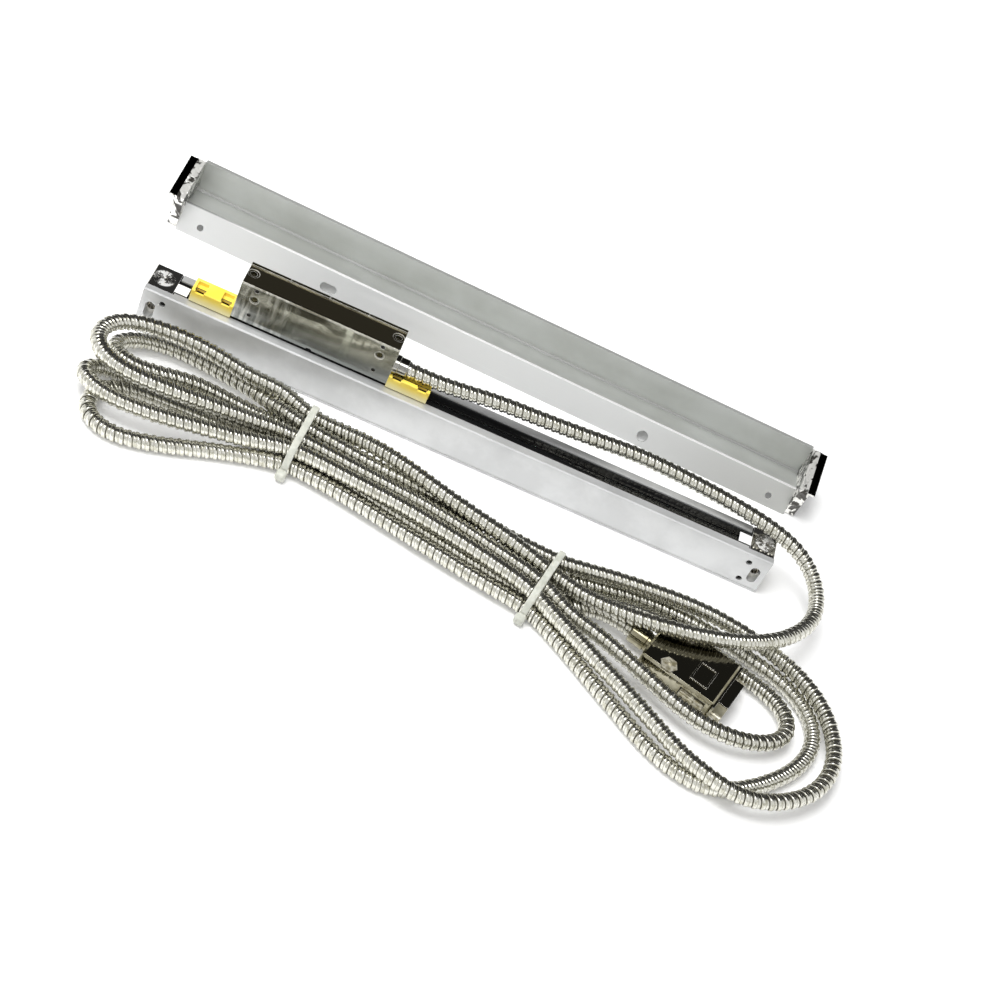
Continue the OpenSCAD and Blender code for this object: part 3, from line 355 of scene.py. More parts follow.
# the strap's middle line in the tie's plane: in each direction the strand that reaches furthest, plus its
# radius and half the strap, then evened out and kept off the floor
def strapLine(strands):
    angle = np.linspace(-math.pi, math.pi, tie["directions"])[:-1]
    out = np.stack([np.cos(angle), np.sin(angle)], 1)
    far = cable["diameter"] / 2 + tie["slack"] + tie["thick"] / 2
    line = strands[(strands @ out.T).argmax(0)] + far * out
    flat = np.column_stack([np.vstack([line, line[:1]]), np.zeros(tie["directions"])])
    line = evenSteps(flat, tie["step"])[:-1, :2]
    for r in range(tie["evenings"]):
        line = (np.roll(line, 1, 0) + 2 * line + np.roll(line, -1, 0)) / 4
    line[:, 1] = np.maximum(line[:, 1], tie["thick"] / 2 + tie["floorGap"])
    return line


# the strap, in the tie's own directions: at each point of the line a rounded rectangle, width along the bundle
# and thickness along the line's normal, with a cosine of low ribs on the outer side
def strapPoints(line, normal):
    a = np.linspace(0, 2 * math.pi, tie["around"])[:-1]
    wide = tie["width"] / 2 * squared(np.cos(a), tie["squareness"])
    thick = tie["thick"] / 2 * squared(np.sin(a), tie["squareness"])
    ribs = tie["ribHigh"] * np.cos(wide / tie["width"] * 2 * math.pi * tie["ribs"])
    thick = thick + ribs * (np.sin(a) > tie["ribSide"])
    flat = line[:, None] + normal[:, None] * thick[None, :, None]
    return np.concatenate([np.broadcast_to(wide[None, :, None], flat.shape[:2] + (1,)), flat], -1)


# the lock, in the tie's own directions: a ball whose sines and cosines are filled out to a rounded box, a
# little uneven, standing on the strap; its two poles come last
def lockPoints(place, normal, way, rng):
    lat = np.linspace(-math.pi / 2, math.pi / 2, tie["headRings"])[1:-1]
    lon = np.linspace(0, 2 * math.pi, tie["headAround"])[:-1]
    lat, lon = np.meshgrid(lat, lon, indexing="ij")
    power, high = tie["headSquareness"], tie["headThick"] / 2
    ball = np.stack([squared(np.cos(lat), power) * squared(np.cos(lon), power) * tie["headWide"] / 2,
                     squared(np.cos(lat), power) * squared(np.sin(lon), power) * tie["headLong"] / 2,
                     squared(np.sin(lat), power) * high], -1).reshape(-1, 3)
    ball = np.vstack([ball, [[0, 0, -high], [0, 0, high]]])
    ball = ball * (1 + tie["headNoise"] * rng.normal(0, 1, (len(ball), 1)).clip(-1, 1))
    outward, onward = np.array([0, *normal]), np.array([0, *way])
    middle = np.array([0, *place]) + outward * (high - tie["thick"] / 2)
    lock = middle + ball[:, :1] * np.array([1, 0, 0]) + ball[:, 1:2] * onward + ball[:, 2:] * outward
    lock[:, 2] = np.maximum(lock[:, 2], tie["floorGap"])
    return lock


# the lock's quads, and fans from its two poles
def lockFaces():
    m, c = tie["headRings"] - 2, tie["headAround"] - 1
    j = np.arange(c)
    beside = (j + 1) % c
    low = np.stack([np.full(c, m * c), beside, j], -1)
    high = np.stack([np.full(c, m * c + 1), (m - 1) * c + j, (m - 1) * c + beside], -1)
    return [ringFaces(m, c), low, high]


# a strap drawn tight round the strands that cross its plane, and a lock at the front
def makeTie(name, replaced, centre, skew, rng):
    turn = math.radians(skew) + bundleTurn()
    along = np.array([math.cos(turn), math.sin(turn), 0])
    across, up = np.array([-math.sin(turn), math.cos(turn), 0]), np.array([0, 0, 1])
    base = np.array([centre[0], centre[1], 0])
    rel = cablePath - base
    t, v = rel @ along, rel @ across
    hit = (t[:-1] * t[1:] <= 0) & (np.abs(v[:-1]) < tie["reach"])
    line = strapLine(np.stack([v[:-1][hit], rel[:-1][hit][:, 2]], 1))
    way = np.roll(line, -1, 0) - np.roll(line, 1, 0)
    way /= np.linalg.norm(way, axis=1)[:, None]
    normal = np.stack([way[:, 1], -way[:, 0]], 1)
    fromMiddle = line - line.mean(0)
    at = np.abs(np.arctan2(fromMiddle[:, 1], fromMiddle[:, 0]) - tie["headAt"]).argmin()
    strap = strapPoints(line, normal)
    own = np.vstack([strap.reshape(-1, 3), lockPoints(line[at], normal[at], way[at], rng)])
    points = base + own[:, :1] * along + own[:, 1:2] * across + own[:, 2:] * up
    rows, sides = strap.shape[:2]
    faces = ringFaces(rows, sides, closed=True).tolist()
    for part in lockFaces():
        faces += (rows * sides + part).tolist()
    piece = meshPiece(name, points * mm, faces)
    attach(piece, "head")
    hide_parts(replaced)
    return piece


tieDice = np.random.default_rng(tie["seed"])
tiePieces = [makeTie("nylon_tie_left", "cable_tie_left", cable["tieLeft"], tie["skewLeft"], tieDice),
             makeTie("nylon_tie_right", "cable_tie_right", cable["tieRight"], tie["skewRight"], tieDice)]
tuple(cablePath[0] * mm)
round(cableLength * mm, 3)
(cablePath[::6] * mm).tolist()
print("ties drawn tight")


# a socket of a node tree: arithmetic on it adds Math nodes, and node() adds any other kind
class Wire:
    def __init__(self, tree, socket=None):
        self.tree, self.socket = tree, socket

    # a node's type, its settings, its sockets' values or links, and the output that is handed on
    def node(self, kind, settings=None, sockets=None, out=0):
        made = self.tree.nodes.new("ShaderNode" + kind)
        for key, value in (settings or {}).items():
            setattr(made, key, value)
        for key, value in (sockets or {}).items():
            if isinstance(value, Wire):
                self.tree.links.new(value.socket, made.inputs[key])
            else:
                made.inputs[key].default_value = value
        return Wire(self.tree, made.outputs[out])

    def maths(self, operation, *values):
        return self.node("Math", {"operation": operation}, dict(enumerate(values)))

    def __add__(self, other):
        return self.maths("ADD", self, other)

    def __sub__(self, other):
        return self.maths("SUBTRACT", self, other)

    def __rsub__(self, other):
        return self.maths("SUBTRACT", other, self)

    def __mul__(self, other):
        return self.maths("MULTIPLY", self, other)

    def __pow__(self, other):
        return self.maths("POWER", self, other)

    __radd__, __rmul__ = __add__, __mul__

    # 0 below low, 1 above high, a smooth rise between
    def rise(self, low, high):
        return self.node("MapRange", {"interpolation_type": "SMOOTHSTEP"}, {0: self, 1: low, 2: high})


# a display colour as red, green and blue of 255, turned into the linear one that shaders use: a straight line
# for the darkest and a power for the rest; wires and linear colours pass
def tone(colour):
    if isinstance(colour, Wire) or len(colour) == 4:
        return colour
    return tuple(c / 255 / 12.92 if c < 10.4 else ((c / 255 + 0.055) / 1.055) ** 2.4 for c in colour) + (1.0,)


# the place on the object, which patterns stay fixed to
def objectPlace(w):
    return w.node("TexCoord", out="Object")


# one coordinate of the place on the object, in metres
def coordinate(w, axis):
    return w.node("SeparateXYZ", None, {0: objectPlace(w)}, axis)


# a place multiplied along its three directions, for a pattern that is drawn out one way
def stretched(w, scale, turn=(0, 0, 0), place=None):
    return w.node("Mapping", None, {"Vector": place or objectPlace(w), "Scale": scale, "Rotation": turn})


# cloudy noise around 0.5, in waves per metre: one number, or three where it is drawn out one way
def noise(w, scale, detail=3.0, rough=0.55, swirl=0.0, turn=(0, 0, 0), place=None):
    if isinstance(scale, tuple):
        place, scale = stretched(w, scale, turn, place), 1.0
    return w.node("TexNoise", None, {"Vector": place or objectPlace(w), "Scale": scale, "Detail": detail,
                                     "Roughness": rough, "Distortion": swirl})


# colour a where share is 0 and b where it is 1; 6, 7 and 2 are the Mix node's colour sockets
def blend(w, share, a, b):
    return w.node("Mix", {"data_type": "RGBA"}, {0: share, 6: tone(a), 7: tone(b)}, 2)


# bumps as deep as depth, in millimetres, on top of another normal
def bumped(w, height, depth, normal=None):
    sockets = {"Height": height, "Strength": 1.0, "Distance": depth * mm}
    if normal is not None:
        sockets["Normal"] = normal
    return w.node("Bump", None, sockets)


# the face's normal with edges rounded to a radius in millimetres
def rounded(w, radius):
    return w.node("Bevel", {"samples": 6}, {"Radius": radius * mm})


# how far a direction points the way of the face itself: 1 when they are the same, from their dot product
def alignment(w, direction):
    return w.node("VectorMath", {"operation": "DOT_PRODUCT"},
                  {0: direction, 1: w.node("NewGeometry", out="True Normal")}, "Value")


# 1 along sharp edges, falling to 0 a radius away: how far the rounded normal leans from the face's own
def edgeMask(w, radius):
    return (1 - alignment(w, rounded(w, radius))).rise(0.02, 0.2)


# how far a face points one way, 0 to 1
def facing(w, way, low=0.6, high=0.9):
    return alignment(w, way).rise(low, high)


upwards, frontwards, backwards, rightwards, leftwards = (0, 0, 1), (0, -1, 0), (0, 1, 0), (1, 0, 0), (-1, 0, 0)


finishes = {}


# a material with fixed values on some sockets and the wires of a surface function on others
def makeFinish(name, fixed, varying):
    material = bpy.data.materials.new(name)
    material.use_nodes = True
    tree = material.node_tree
    shader = tree.nodes["Principled BSDF"]
    for key, value in fixed.items():
        shader.inputs[key].default_value = value
    for key, value in varying(Wire(tree)).items():
        tree.links.new(value.socket, shader.inputs[key])
    finishes[name] = material


# base and mottle tones, the edge tone that paints a highlight along worn edges, patches per metre, grain as
# stretch along X, Y and Z, roughness low and high, depths of grain and waves and the rounding of edges in
# millimetres. The gland and the plug have a darker painted shade on their tops. The cover also has tones for
# the bend at the foot of its panel, a painted shade, for its ridge, a painted highlight, and for the foot
# below, a painted light which darkens between two places along X
metals = {
    "anodised_aluminium": {"base": (214, 215, 215), "mottle": (200, 201, 201), "patch": 40,
                           "grain": (18, 700, 700), "rough": (0.30, 0.36), "grainBump": 0.0015, "wave": 0.02,
                           "round": 0.12,
                           "edgeHighlightTone": (246, 246, 246), "metallic": 0.5},
    "steel": {"base": (190, 190, 192), "mottle": (150, 150, 150), "patch": 600, "grain": (500, 500, 500),
              "rough": (0.18, 0.34), "grainBump": 0.004, "round": 0.12,
              "edgeHighlightTone": (235, 235, 235)},
    "screw_steel": {"base": (72, 71, 68), "mottle": (40, 39, 37), "patch": 900, "grain": (500, 500, 500),
                    "rough": (0.25, 0.45), "grainBump": 0.006, "round": 0.12,
                    "edgeHighlightTone": (190, 190, 188)},
    "carriage_metal": {"base": (160, 160, 163), "mottle": (128, 128, 130), "patch": 120,
                       "grain": (60, 900, 900), "rough": (0.35, 0.5), "grainBump": 0.008, "round": 0.15,
                       "edgeHighlightTone": (220, 220, 222)},
    "gland_nickel": {"base": (170, 169, 163), "mottle": (140, 139, 132), "patch": 300, "grain": (900, 120, 120),
                     "rough": (0.05, 0.12), "grainBump": 0.002, "round": 0.2,
                     "edgeHighlightTone": (250, 250, 248), "paintedTopShade": (96, 95, 88)},
    "plug_metal": {"base": (178, 174, 154), "mottle": (132, 126, 100), "patch": 70, "grain": (260, 260, 260),
                   "rough": (0.05, 0.14), "grainBump": 0.003, "wave": 0.04, "round": 0.15,
                   "edgeHighlightTone": (252, 250, 242), "paintedTopShade": (102, 99, 86)},
    "nut_metal": {"base": (222, 218, 200), "mottle": (150, 142, 112), "patch": 500, "grain": (420, 420, 420),
                  "rough": (0.3, 0.45), "grainBump": 0.02, "wave": 0.3, "round": 0.25,
                  "edgeHighlightTone": (250, 248, 238), "metallic": 0.6},
    "cover_aluminium": {"base": (208, 210, 207), "mottle": (198, 200, 196), "patch": 24,
                        "grain": (12, 500, 500), "rough": (0.42, 0.5), "grainBump": 0.003, "wave": 0.01,
                        "round": 0.15, "edgeHighlightTone": (226, 227, 224), "metallic": 0.65,
                        "paintedBendShade": (143, 144, 142),
                        "paintedRidgeHighlight": (255, 255, 254), "footTone": (222, 223, 222), "footFar": (192, 193, 190),
                        "footWay": (0, -0.85, 0.53), "bendWay": (0, -0.42, 0.907), "bendY": (66.7, 68.7),
                        "fadeX": (60, 165)},
}
paintedEdgeHighlight = {"radius": 0.15, "share": 0.8}
waveScale = 45  # waves per metre


# the cover's painted light and shade: its foot gets a painted light that darkens along X, the fillet of
# its ridge a painted highlight and the bend a painted shade; these two share one direction, so the place along
# Y tells them apart
def coverTones(w, m, body):
    (near, far), (ridge, bend) = m["fadeX"], m["bendY"]
    # painted light on the foot, falling off along X
    foot = blend(w, coordinate(w, "X").rise(near * mm, far * mm), m["footTone"], m["footFar"])
    body = blend(w, facing(w, m["footWay"], 0.97, 0.99), body, foot)
    # painted highlight on the ridge's fillet, painted shade on the bend
    line = blend(w, coordinate(w, "Y").rise(ridge * mm, bend * mm), m["paintedRidgeHighlight"], m["paintedBendShade"])
    return blend(w, facing(w, m["bendWay"], 0.93, 0.97), body, line)


# cloudy tone, a darker painted shade on tops where a finish has one, the cover's painted light and shade, fine
# drawn grain in roughness and height, slow waves in the surface, worn edges brightened with a painted highlight
def metalSurface(w, m):
    cloud = noise(w, m["patch"], 4, 0.6)
    grain = noise(w, m["grain"], 3, 0.65)
    body = blend(w, cloud.rise(0.35, 0.65), m["base"], m["mottle"])
    # painted shade: faces that point up take a darker tone
    if "paintedTopShade" in m:
        body = blend(w, facing(w, upwards, 0.9, 0.98), body, m["paintedTopShade"])
    if "paintedBendShade" in m:
        body = coverTones(w, m, body)
    # painted highlight: a bright tone along the edges, over slight wear
    wornEdgeHighlight = edgeMask(w, paintedEdgeHighlight["radius"]) * paintedEdgeHighlight["share"]
    low, high = m["rough"]
    roughness = low + (high - low) * (0.35 * cloud + 0.65 * grain).rise(0.3, 0.7)
    normal = bumped(w, grain, m["grainBump"], rounded(w, m["round"]))
    if "wave" in m:
        normal = bumped(w, noise(w, waveScale, 1), m["wave"], normal)
    return {"Base Color": blend(w, wornEdgeHighlight, body, m["edgeHighlightTone"]), "Roughness": roughness, "Normal": normal}


for metalName, metal in metals.items():
    makeFinish(metalName, {"Metallic": metal.get("metallic", 1.0)}, lambda w, m=metal: metalSurface(w, m))


# cover caps, in millimetres and degrees: a black top strip at the outer end, a painted dark reflection on
# polished plating, bright crumpled plating inwards of it and on the web with a painted pattern of bright and
# dark reflections, and plain plating outwards and at the back
capLook = {"stripFrom": 166.1, "middle": -1.2, "turn": 2.0, "soft": 0.1, "strip": (24, 24, 22),
           "paintedReflectionDark": (74, 72, 68), "light": (252, 251, 246),
           "plain": (206, 206, 203), "plainShade": (180, 180, 176),
           "foldScale": (190, 150, 150), "creaseScale": (150, 120, 120), "foldDeep": 1.6, "round": 0.2}


# the strip starts at a distance from the cover's middle, along its slightly turned length
def capSurface(w):
    c, turn = capLook, math.radians(capLook["turn"])
    x = (coordinate(w, "X") - c["middle"] * mm) * math.cos(turn) - coordinate(w, "Y") * math.sin(turn)
    top, right = facing(w, upwards), x.rise(-mm, mm)
    low, high = (c["stripFrom"] - c["soft"]) * mm, (c["stripFrom"] + c["soft"]) * mm
    # painted reflection: the top strip at the outer end takes a black tone
    strip = w.maths("ABSOLUTE", x).rise(low, high) * top
    folds = noise(w, c["foldScale"], 2, 0.5, 1.2)
    creases = w.node("TexVoronoi", {"feature": "F1"}, {"Vector": stretched(w, c["creaseScale"]), "Scale": 1.0},
                     "Distance")
    outward = facing(w, rightwards) * right + facing(w, leftwards) * (1 - right) + facing(w, backwards)
    # painted reflection: bright and dark patches across the crumpled plating
    paintedReflection = blend(w, (folds + 0.07 * top).rise(0.46, 0.54), c["paintedReflectionDark"], c["light"])
    body = blend(w, outward, paintedReflection, blend(w, folds.rise(0.3, 0.7), c["plain"], c["plainShade"]))
    crumpled = (1 - strip) * (1 - 0.96 * outward)
    normal = bumped(w, (creases + folds) * crumpled, c["foldDeep"], rounded(w, c["round"]))
    return {"Base Color": blend(w, strip, body, c["strip"]),
            "Roughness": 0.05 + 0.08 * folds + 0.1 * outward,
            "Metallic": 0.55 + 0.45 * strip, "Normal": normal}


makeFinish("cap_chrome", {}, capSurface)


# end blocks, in millimetres: dark bright plating, its top darker with a painted shade, with a swirl polished
# into the top whose bright fans are a painted reflection, and a bare pale tab over the lips; the swirl's size
# is its radius, and it fades out over the last of it
blockLook = {"swirlAt": 150.2, "swirlY": 1.6, "swirlSize": 5.6, "swirlFull": 0.85, "swirlDeep": 0.25,
             "rays": 2.0, "twist": 250.0, "jitter": 9.0, "tabFrom": 143.6, "soft": 0.1, "side": (240, 238, 232),
             "sideShade": (205, 202, 194), "top": (168, 166, 162), "light": (250, 250, 248),
             "tab": (250, 250, 250), "edge": (248, 248, 248), "edgeRadius": 0.3, "round": 0.2,
             "jitterScale": 420, "cloudScale": 90, "waveScale": 60, "waveDeep": 0.1}


# the swirl is a sine of the direction round its middle, twisted by the distance from it and jittered by noise
def blockSurface(w):
    b = blockLook
    x = w.maths("ABSOLUTE", coordinate(w, "X"))
    across, back = x - b["swirlAt"] * mm, coordinate(w, "Y") - b["swirlY"] * mm
    reach = (across * across + back * back) ** 0.5
    turn = w.maths("ARCTAN2", back, across)
    jitter = noise(w, b["jitterScale"], 3, 0.7) * b["jitter"]
    fan = w.maths("SINE", turn * b["rays"] + reach * b["twist"] + jitter)
    top = facing(w, upwards)
    inside = (1 - reach.rise(b["swirlSize"] * b["swirlFull"] * mm, b["swirlSize"] * mm)) * top
    tab = (1 - x.rise((b["tabFrom"] - b["soft"]) * mm, b["tabFrom"] * mm)) * top
    cloud = noise(w, b["cloudScale"], 4, 0.6)
    body = blend(w, cloud.rise(0.35, 0.65), b["side"], b["sideShade"])
    # painted shade: the top takes a darker tone
    body = blend(w, top, body, b["top"])
    # painted reflection: the swirl's fans take a bright tone
    light = fan.rise(-0.2, 0.7) * inside
    body = blend(w, light, body, b["light"])
    body = blend(w, tab, body, b["tab"])
    # painted highlight: a bright tone along the edges, over slight wear
    wornEdgeHighlight = edgeMask(w, b["edgeRadius"])
    normal = bumped(w, fan * inside, b["swirlDeep"], rounded(w, b["round"]))
    normal = bumped(w, noise(w, b["waveScale"], 2), b["waveDeep"], normal)
    return {"Base Color": blend(w, wornEdgeHighlight, body, b["edge"]),
            "Roughness": 0.05 + 0.05 * cloud + 0.3 * tab + 0.25 * light,
            "Metallic": (1 - 0.95 * tab) * (1 - 0.55 * light) * (1 - 0.7 * wornEdgeHighlight), "Normal": normal}


makeFinish("end_block_chrome", {}, blockSurface)
print("metals mixed")


# reading head: tones, and noise scales as stretch along X, Y and Z, depths in millimetres
headLook = {"high": (206, 206, 196), "highDark": (112, 110, 98), "low": (138, 142, 141),
            "streak": (232, 232, 226), "top": (152, 144, 118), "edge": (250, 250, 244),
            "cloudScale": (50, 60, 150), "cloudTilt": 0.5, "rippleScale": (520, 520, 60), "speckScale": 1500,
            "edgeRadius": 0.32, "round": 0.22, "rippleDeep": 0.04, "cloudDeep": 0.03}


# dark nickel plating: the front is mottled and rippled upright towards its left, smooth and bluish low on the
# right, the top is near black and polished with a darker painted shade on it, and every edge is a thin bright
# line, a painted highlight over slight wear
def headSurface(w):
    h, (low, high) = headLook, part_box("head_housing")
    top = facing(w, upwards)
    across = coordinate(w, "X").rise(low[0], high[0])
    height = coordinate(w, "Z").rise(low[2], high[2])
    mottled = (height - 0.9 * across + 0.5).rise(0.1, 0.9)
    cloud = noise(w, h["cloudScale"], 4, 0.6, 0.4, (0, h["cloudTilt"], 0))
    ripple = noise(w, h["rippleScale"], 2, 0.6) * (1 - across.rise(0.1, 0.7))
    speck = noise(w, h["speckScale"], 2, 0.5).rise(0.62, 0.75)
    front = blend(w, cloud.rise(0.42, 0.58) * mottled, h["high"], h["highDark"])
    front = blend(w, (1 - height.rise(0.1, 0.7)) * 0.8, front, h["low"])
    front = blend(w, ripple.rise(0.35, 0.7) * 0.8 + speck * 0.15, front, h["streak"])
    # painted shade: the top takes a darker tone
    body = blend(w, top, front, h["top"])
    # painted highlight: a bright tone along the edges, over slight wear
    wornEdgeHighlight = edgeMask(w, h["edgeRadius"])
    roughness = (0.09 + 0.10 * cloud.rise(0.3, 0.7) + 0.05 * ripple) * (1 - 0.4 * top) + 0.3 * wornEdgeHighlight
    normal = bumped(w, ripple, h["rippleDeep"], rounded(w, h["round"]))
    normal = bumped(w, cloud, h["cloudDeep"], normal)
    return {"Base Color": blend(w, wornEdgeHighlight, body, h["edge"]), "Roughness": roughness,
            "Metallic": 1 - 0.75 * wornEdgeHighlight, "Normal": normal}


makeFinish("head_nickel", {}, headSurface)


# rubber, nylon, board and glass: tones, and depths of bumps in millimetres
rubber = {"black": (8, 8, 9), "bloom": (48, 50, 52), "streakScale": (22, 160, 160), "dustScale": 900,
          "deep": 0.03, "round": 0.15}
nylon = {"milk": (206, 207, 197), "shade": (186, 188, 177), "milkScale": 260, "markScale": 1300,
         "deep": 0.012, "round": 0.2}
board = {"mask": (20, 84, 54), "track": (38, 120, 76), "pad": (196, 186, 150), "trackScale": (260, 260, 520),
         "trackWide": 0.05, "padScale": 500.0, "deep": 0.03}
glass = {"clear": (222, 240, 234), "line": (120, 140, 134), "lineScale": 2500.0, "smearScale": 60}


# seal rubber: deep black with a cloudy bloom that dulls its gloss in streaks along the scale
def rubberSurface(w):
    streak = noise(w, rubber["streakScale"], 4, 0.6, 0.3)
    dust = noise(w, rubber["dustScale"], 3, 0.6)
    bloom = streak.rise(0.45, 0.75)
    pale = bloom * 0.25 + dust.rise(0.6, 0.8) * 0.12
    normal = bumped(w, streak, rubber["deep"], rounded(w, rubber["round"]))
    return {"Base Color": blend(w, pale, rubber["black"], rubber["bloom"]),
            "Roughness": 0.10 + 0.16 * bloom + 0.06 * dust, "Normal": normal}


# natural nylon: milky, let through with a faint yellow, fine tool marks
def nylonSurface(w):
    milk = noise(w, nylon["milkScale"], 4, 0.6)
    marks = noise(w, nylon["markScale"], 3)
    return {"Base Color": blend(w, milk.rise(0.3, 0.7), nylon["milk"], nylon["shade"]),
            "Roughness": 0.3 + 0.2 * milk,
            "Normal": bumped(w, marks, nylon["deep"], rounded(w, nylon["round"]))}


# circuit board: solder mask with tracks under it and pale pads
def boardSurface(w):
    tracks = w.node("TexBrick", {"offset": 0.35}, {"Vector": stretched(w, board["trackScale"]), "Scale": 1.0,
                                                   "Mortar Size": board["trackWide"]}, "Fac")
    pads = w.node("TexVoronoi", {"feature": "F1"}, {"Vector": objectPlace(w), "Scale": board["padScale"]},
                  "Distance")
    green = blend(w, tracks, board["mask"], board["track"])
    return {"Base Color": blend(w, 1 - pads.rise(0.12, 0.2), green, board["pad"]),
            "Roughness": 0.28 + 0.2 * pads, "Normal": bumped(w, tracks, board["deep"])}


# scale glass: clear and faintly green, the graduation shows as fine dark lines across its length
def glassSurface(w):
    lines = w.node("TexWave", {"bands_direction": "X"}, {"Vector": objectPlace(w), "Scale": glass["lineScale"],
                                                         "Distortion": 0.0}, "Fac")
    return {"Base Color": blend(w, lines.rise(0.45, 0.55) * 0.5, glass["clear"], glass["line"]),
            "Roughness": 0.03 + 0.03 * noise(w, glass["smearScale"])}


# moulded parts; the yellow brackets pale towards the foot of their front between two heights, and the floor of
# their pockets carries a painted dark shade below a height and as far as a depth from the front, in millimetres
plastics = {
    "bracket_yellow": {"body": (252, 228, 100), "shade": (249, 218, 74), "wornHighlightTone": (253, 238, 160), "rough": 0.34,
                       "foot": (254, 244, 190), "footZ": (21.5, 27.5), "hollow": (30, 26, 12),
                       "hollowTo": 26.75, "hollowDeep": 4.9, "soft": 0.1},
    "black_plastic": {"body": (26, 26, 28), "shade": (18, 18, 20), "wornHighlightTone": (70, 70, 72), "rough": 0.42},
}
moulding = {"flowScale": (60, 60, 140), "poreScale": 2600, "poreDeep": 0.012, "round": 0.3, "edgeRadius": 0.35,
            "edgeShare": 0.6}


# a bracket's pale foot and the painted shade in its pockets, over its plain colour
def bracketTones(w, p, colour):
    (low, high), soft = p["footZ"], p["soft"]
    height = coordinate(w, "Z")
    fade = (1 - height.rise(low * mm, high * mm)) * facing(w, frontwards)
    colour = blend(w, fade, colour, p["foot"])
    depth = coordinate(w, "Y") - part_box("transport_bracket_left")[0][1]
    # painted shade: the pocket floors take a dark tone
    hollow = (1 - height.rise(p["hollowTo"] * mm, (p["hollowTo"] + soft) * mm)) * facing(w, upwards)
    hollow = hollow * (1 - depth.rise((p["hollowDeep"] - soft) * mm, p["hollowDeep"] * mm))
    return blend(w, hollow, colour, p["hollow"])


# moulded plastic: a fine spark-eroded texture, slight flow marks, edges worn a little lighter with a painted
# highlight
def mouldedSurface(w, p):
    flow = noise(w, moulding["flowScale"], 3, 0.5, 0.8)
    pores = noise(w, moulding["poreScale"], 2, 0.5)
    # painted highlight: a lighter tone along the edges, over slight wear
    wornEdgeHighlight = edgeMask(w, moulding["edgeRadius"]) * moulding["edgeShare"]
    colour = blend(w, flow.rise(0.35, 0.7), p["body"], p["shade"])
    if "foot" in p:
        colour = bracketTones(w, p, colour)
    return {"Base Color": blend(w, wornEdgeHighlight, colour, p["wornHighlightTone"]),
            "Roughness": p["rough"] + 0.16 * flow + 0.08 * pores,
            "Normal": bumped(w, pores, moulding["poreDeep"], rounded(w, moulding["round"]))}


for plasticName, plastic in plastics.items():
    makeFinish(plasticName, {"Metallic": 0.0, "IOR": 1.49}, lambda w, p=plastic: mouldedSurface(w, p))
makeFinish("black_rubber", {"Metallic": 0.0, "IOR": 1.52}, rubberSurface)
makeFinish("tie_nylon", {"Metallic": 0.0, "IOR": 1.53, "Subsurface Weight": 0.35, "Subsurface Scale": 0.002,
                         "Subsurface Radius": (1.0, 0.95, 0.85)}, nylonSurface)
makeFinish("circuit", {"Metallic": 0.0}, boardSurface)
makeFinish("scale_glass", {"Transmission Weight": 0.85, "IOR": 1.5}, glassSurface)
print("plastics and rubber mixed")


# armour of the cable: its step is a share of a turn, its fine lines are stretched along the UV map
armourLook = {"crown": (224, 223, 214), "dull": (186, 184, 169), "groove": (34, 31, 20),
              "grimeAndShade": (126, 121, 98), "stepAt": 0.55, "spotScale": 420, "drawnScale": (26, 3, 1),
              "drawnDeep": 0.01}


# steel strip: bright crowns, brown black grooves that are a painted shade, grime mixed with painted shade on
# their shoulders, fine drawing lines across.
# The map's first number is the share of a turn across the strip, which is 0 and 1 in the grooves
def armourSurface(w):
    a, place = armourLook, w.node("UVMap", {"uv_map": "along"})
    share = w.node("SeparateXYZ", None, {0: place}, "X")
    fromGroove = 0.5 - w.maths("ABSOLUTE", share - 0.5)
    fromStep = w.maths("ABSOLUTE", share - a["stepAt"])
    near = w.maths("MINIMUM", fromGroove, fromStep + 0.02)
    spots = noise(w, a["spotScale"], 4, 0.62)
    # painted shade mixed with grime: darker near the grooves and the step
    grimeAndShade = 1 - (near + 0.06 * (spots - 0.5)).rise(0.02, 0.1)
    drawn = noise(w, a["drawnScale"], 2, place=place)
    steel = blend(w, spots.rise(0.42, 0.68), a["crown"], a["dull"])
    steel = blend(w, grimeAndShade * 0.6, steel, a["grimeAndShade"])
    # painted shade: the grooves take a brown black tone
    deep = 1 - fromGroove.rise(0.015, 0.045)
    return {"Base Color": blend(w, deep, steel, a["groove"]),
            "Roughness": 0.10 + 0.10 * spots + 0.25 * grimeAndShade,
            "Normal": bumped(w, drawn + 0.5 * spots, a["drawnDeep"])}


makeFinish("armour", {"Metallic": 1.0}, armourSurface)
cablePiece.data.materials.append(finishes["armour"])
for piece in tiePieces:
    piece.data.materials.append(finishes["tie_nylon"])
print("armour coloured")


# which machined and moulded parts wear each finish
wearers = {
    "anodised_aluminium": ["housing_extrusion"],
    "end_block_chrome": ["end_block_left", "end_block_right"],
    "black_rubber": ["end_gaskets", "glass_seat", "seal_lip_front", "seal_lip_back"],
    "screw_steel": ["block_screws", "head_screws"],
    "steel": ["coupling_blade", "coupling_spring", "bearing_pins", "guide_bearing_low_left",
              "guide_bearing_low_right", "guide_bearing_middle", "guide_bearing_top_left",
              "guide_bearing_top_right"],
    "scale_glass": ["glass_scale", "index_grating"],
    "head_nickel": ["head_housing", "head_back_plate"],
    "circuit": ["circuit_board", "photocell_board"],
    "carriage_metal": ["carriage_frame"],
    "black_plastic": ["light_source", "plug_insert"],
    "bracket_yellow": ["transport_bracket_left", "transport_bracket_right"],
    "gland_nickel": ["cable_gland"],
    "tie_nylon": ["cable_tie_left", "cable_tie_right"],
    "plug_metal": ["plug_hood_lower", "plug_hood_upper", "plug_shell", "plug_ferrule"],
    "nut_metal": ["plug_hood_screws", "thumbscrew_front", "thumbscrew_back"],
    "cover_aluminium": ["dust_cover"],
    "cap_chrome": ["cover_cap_left", "cover_cap_right"],
}
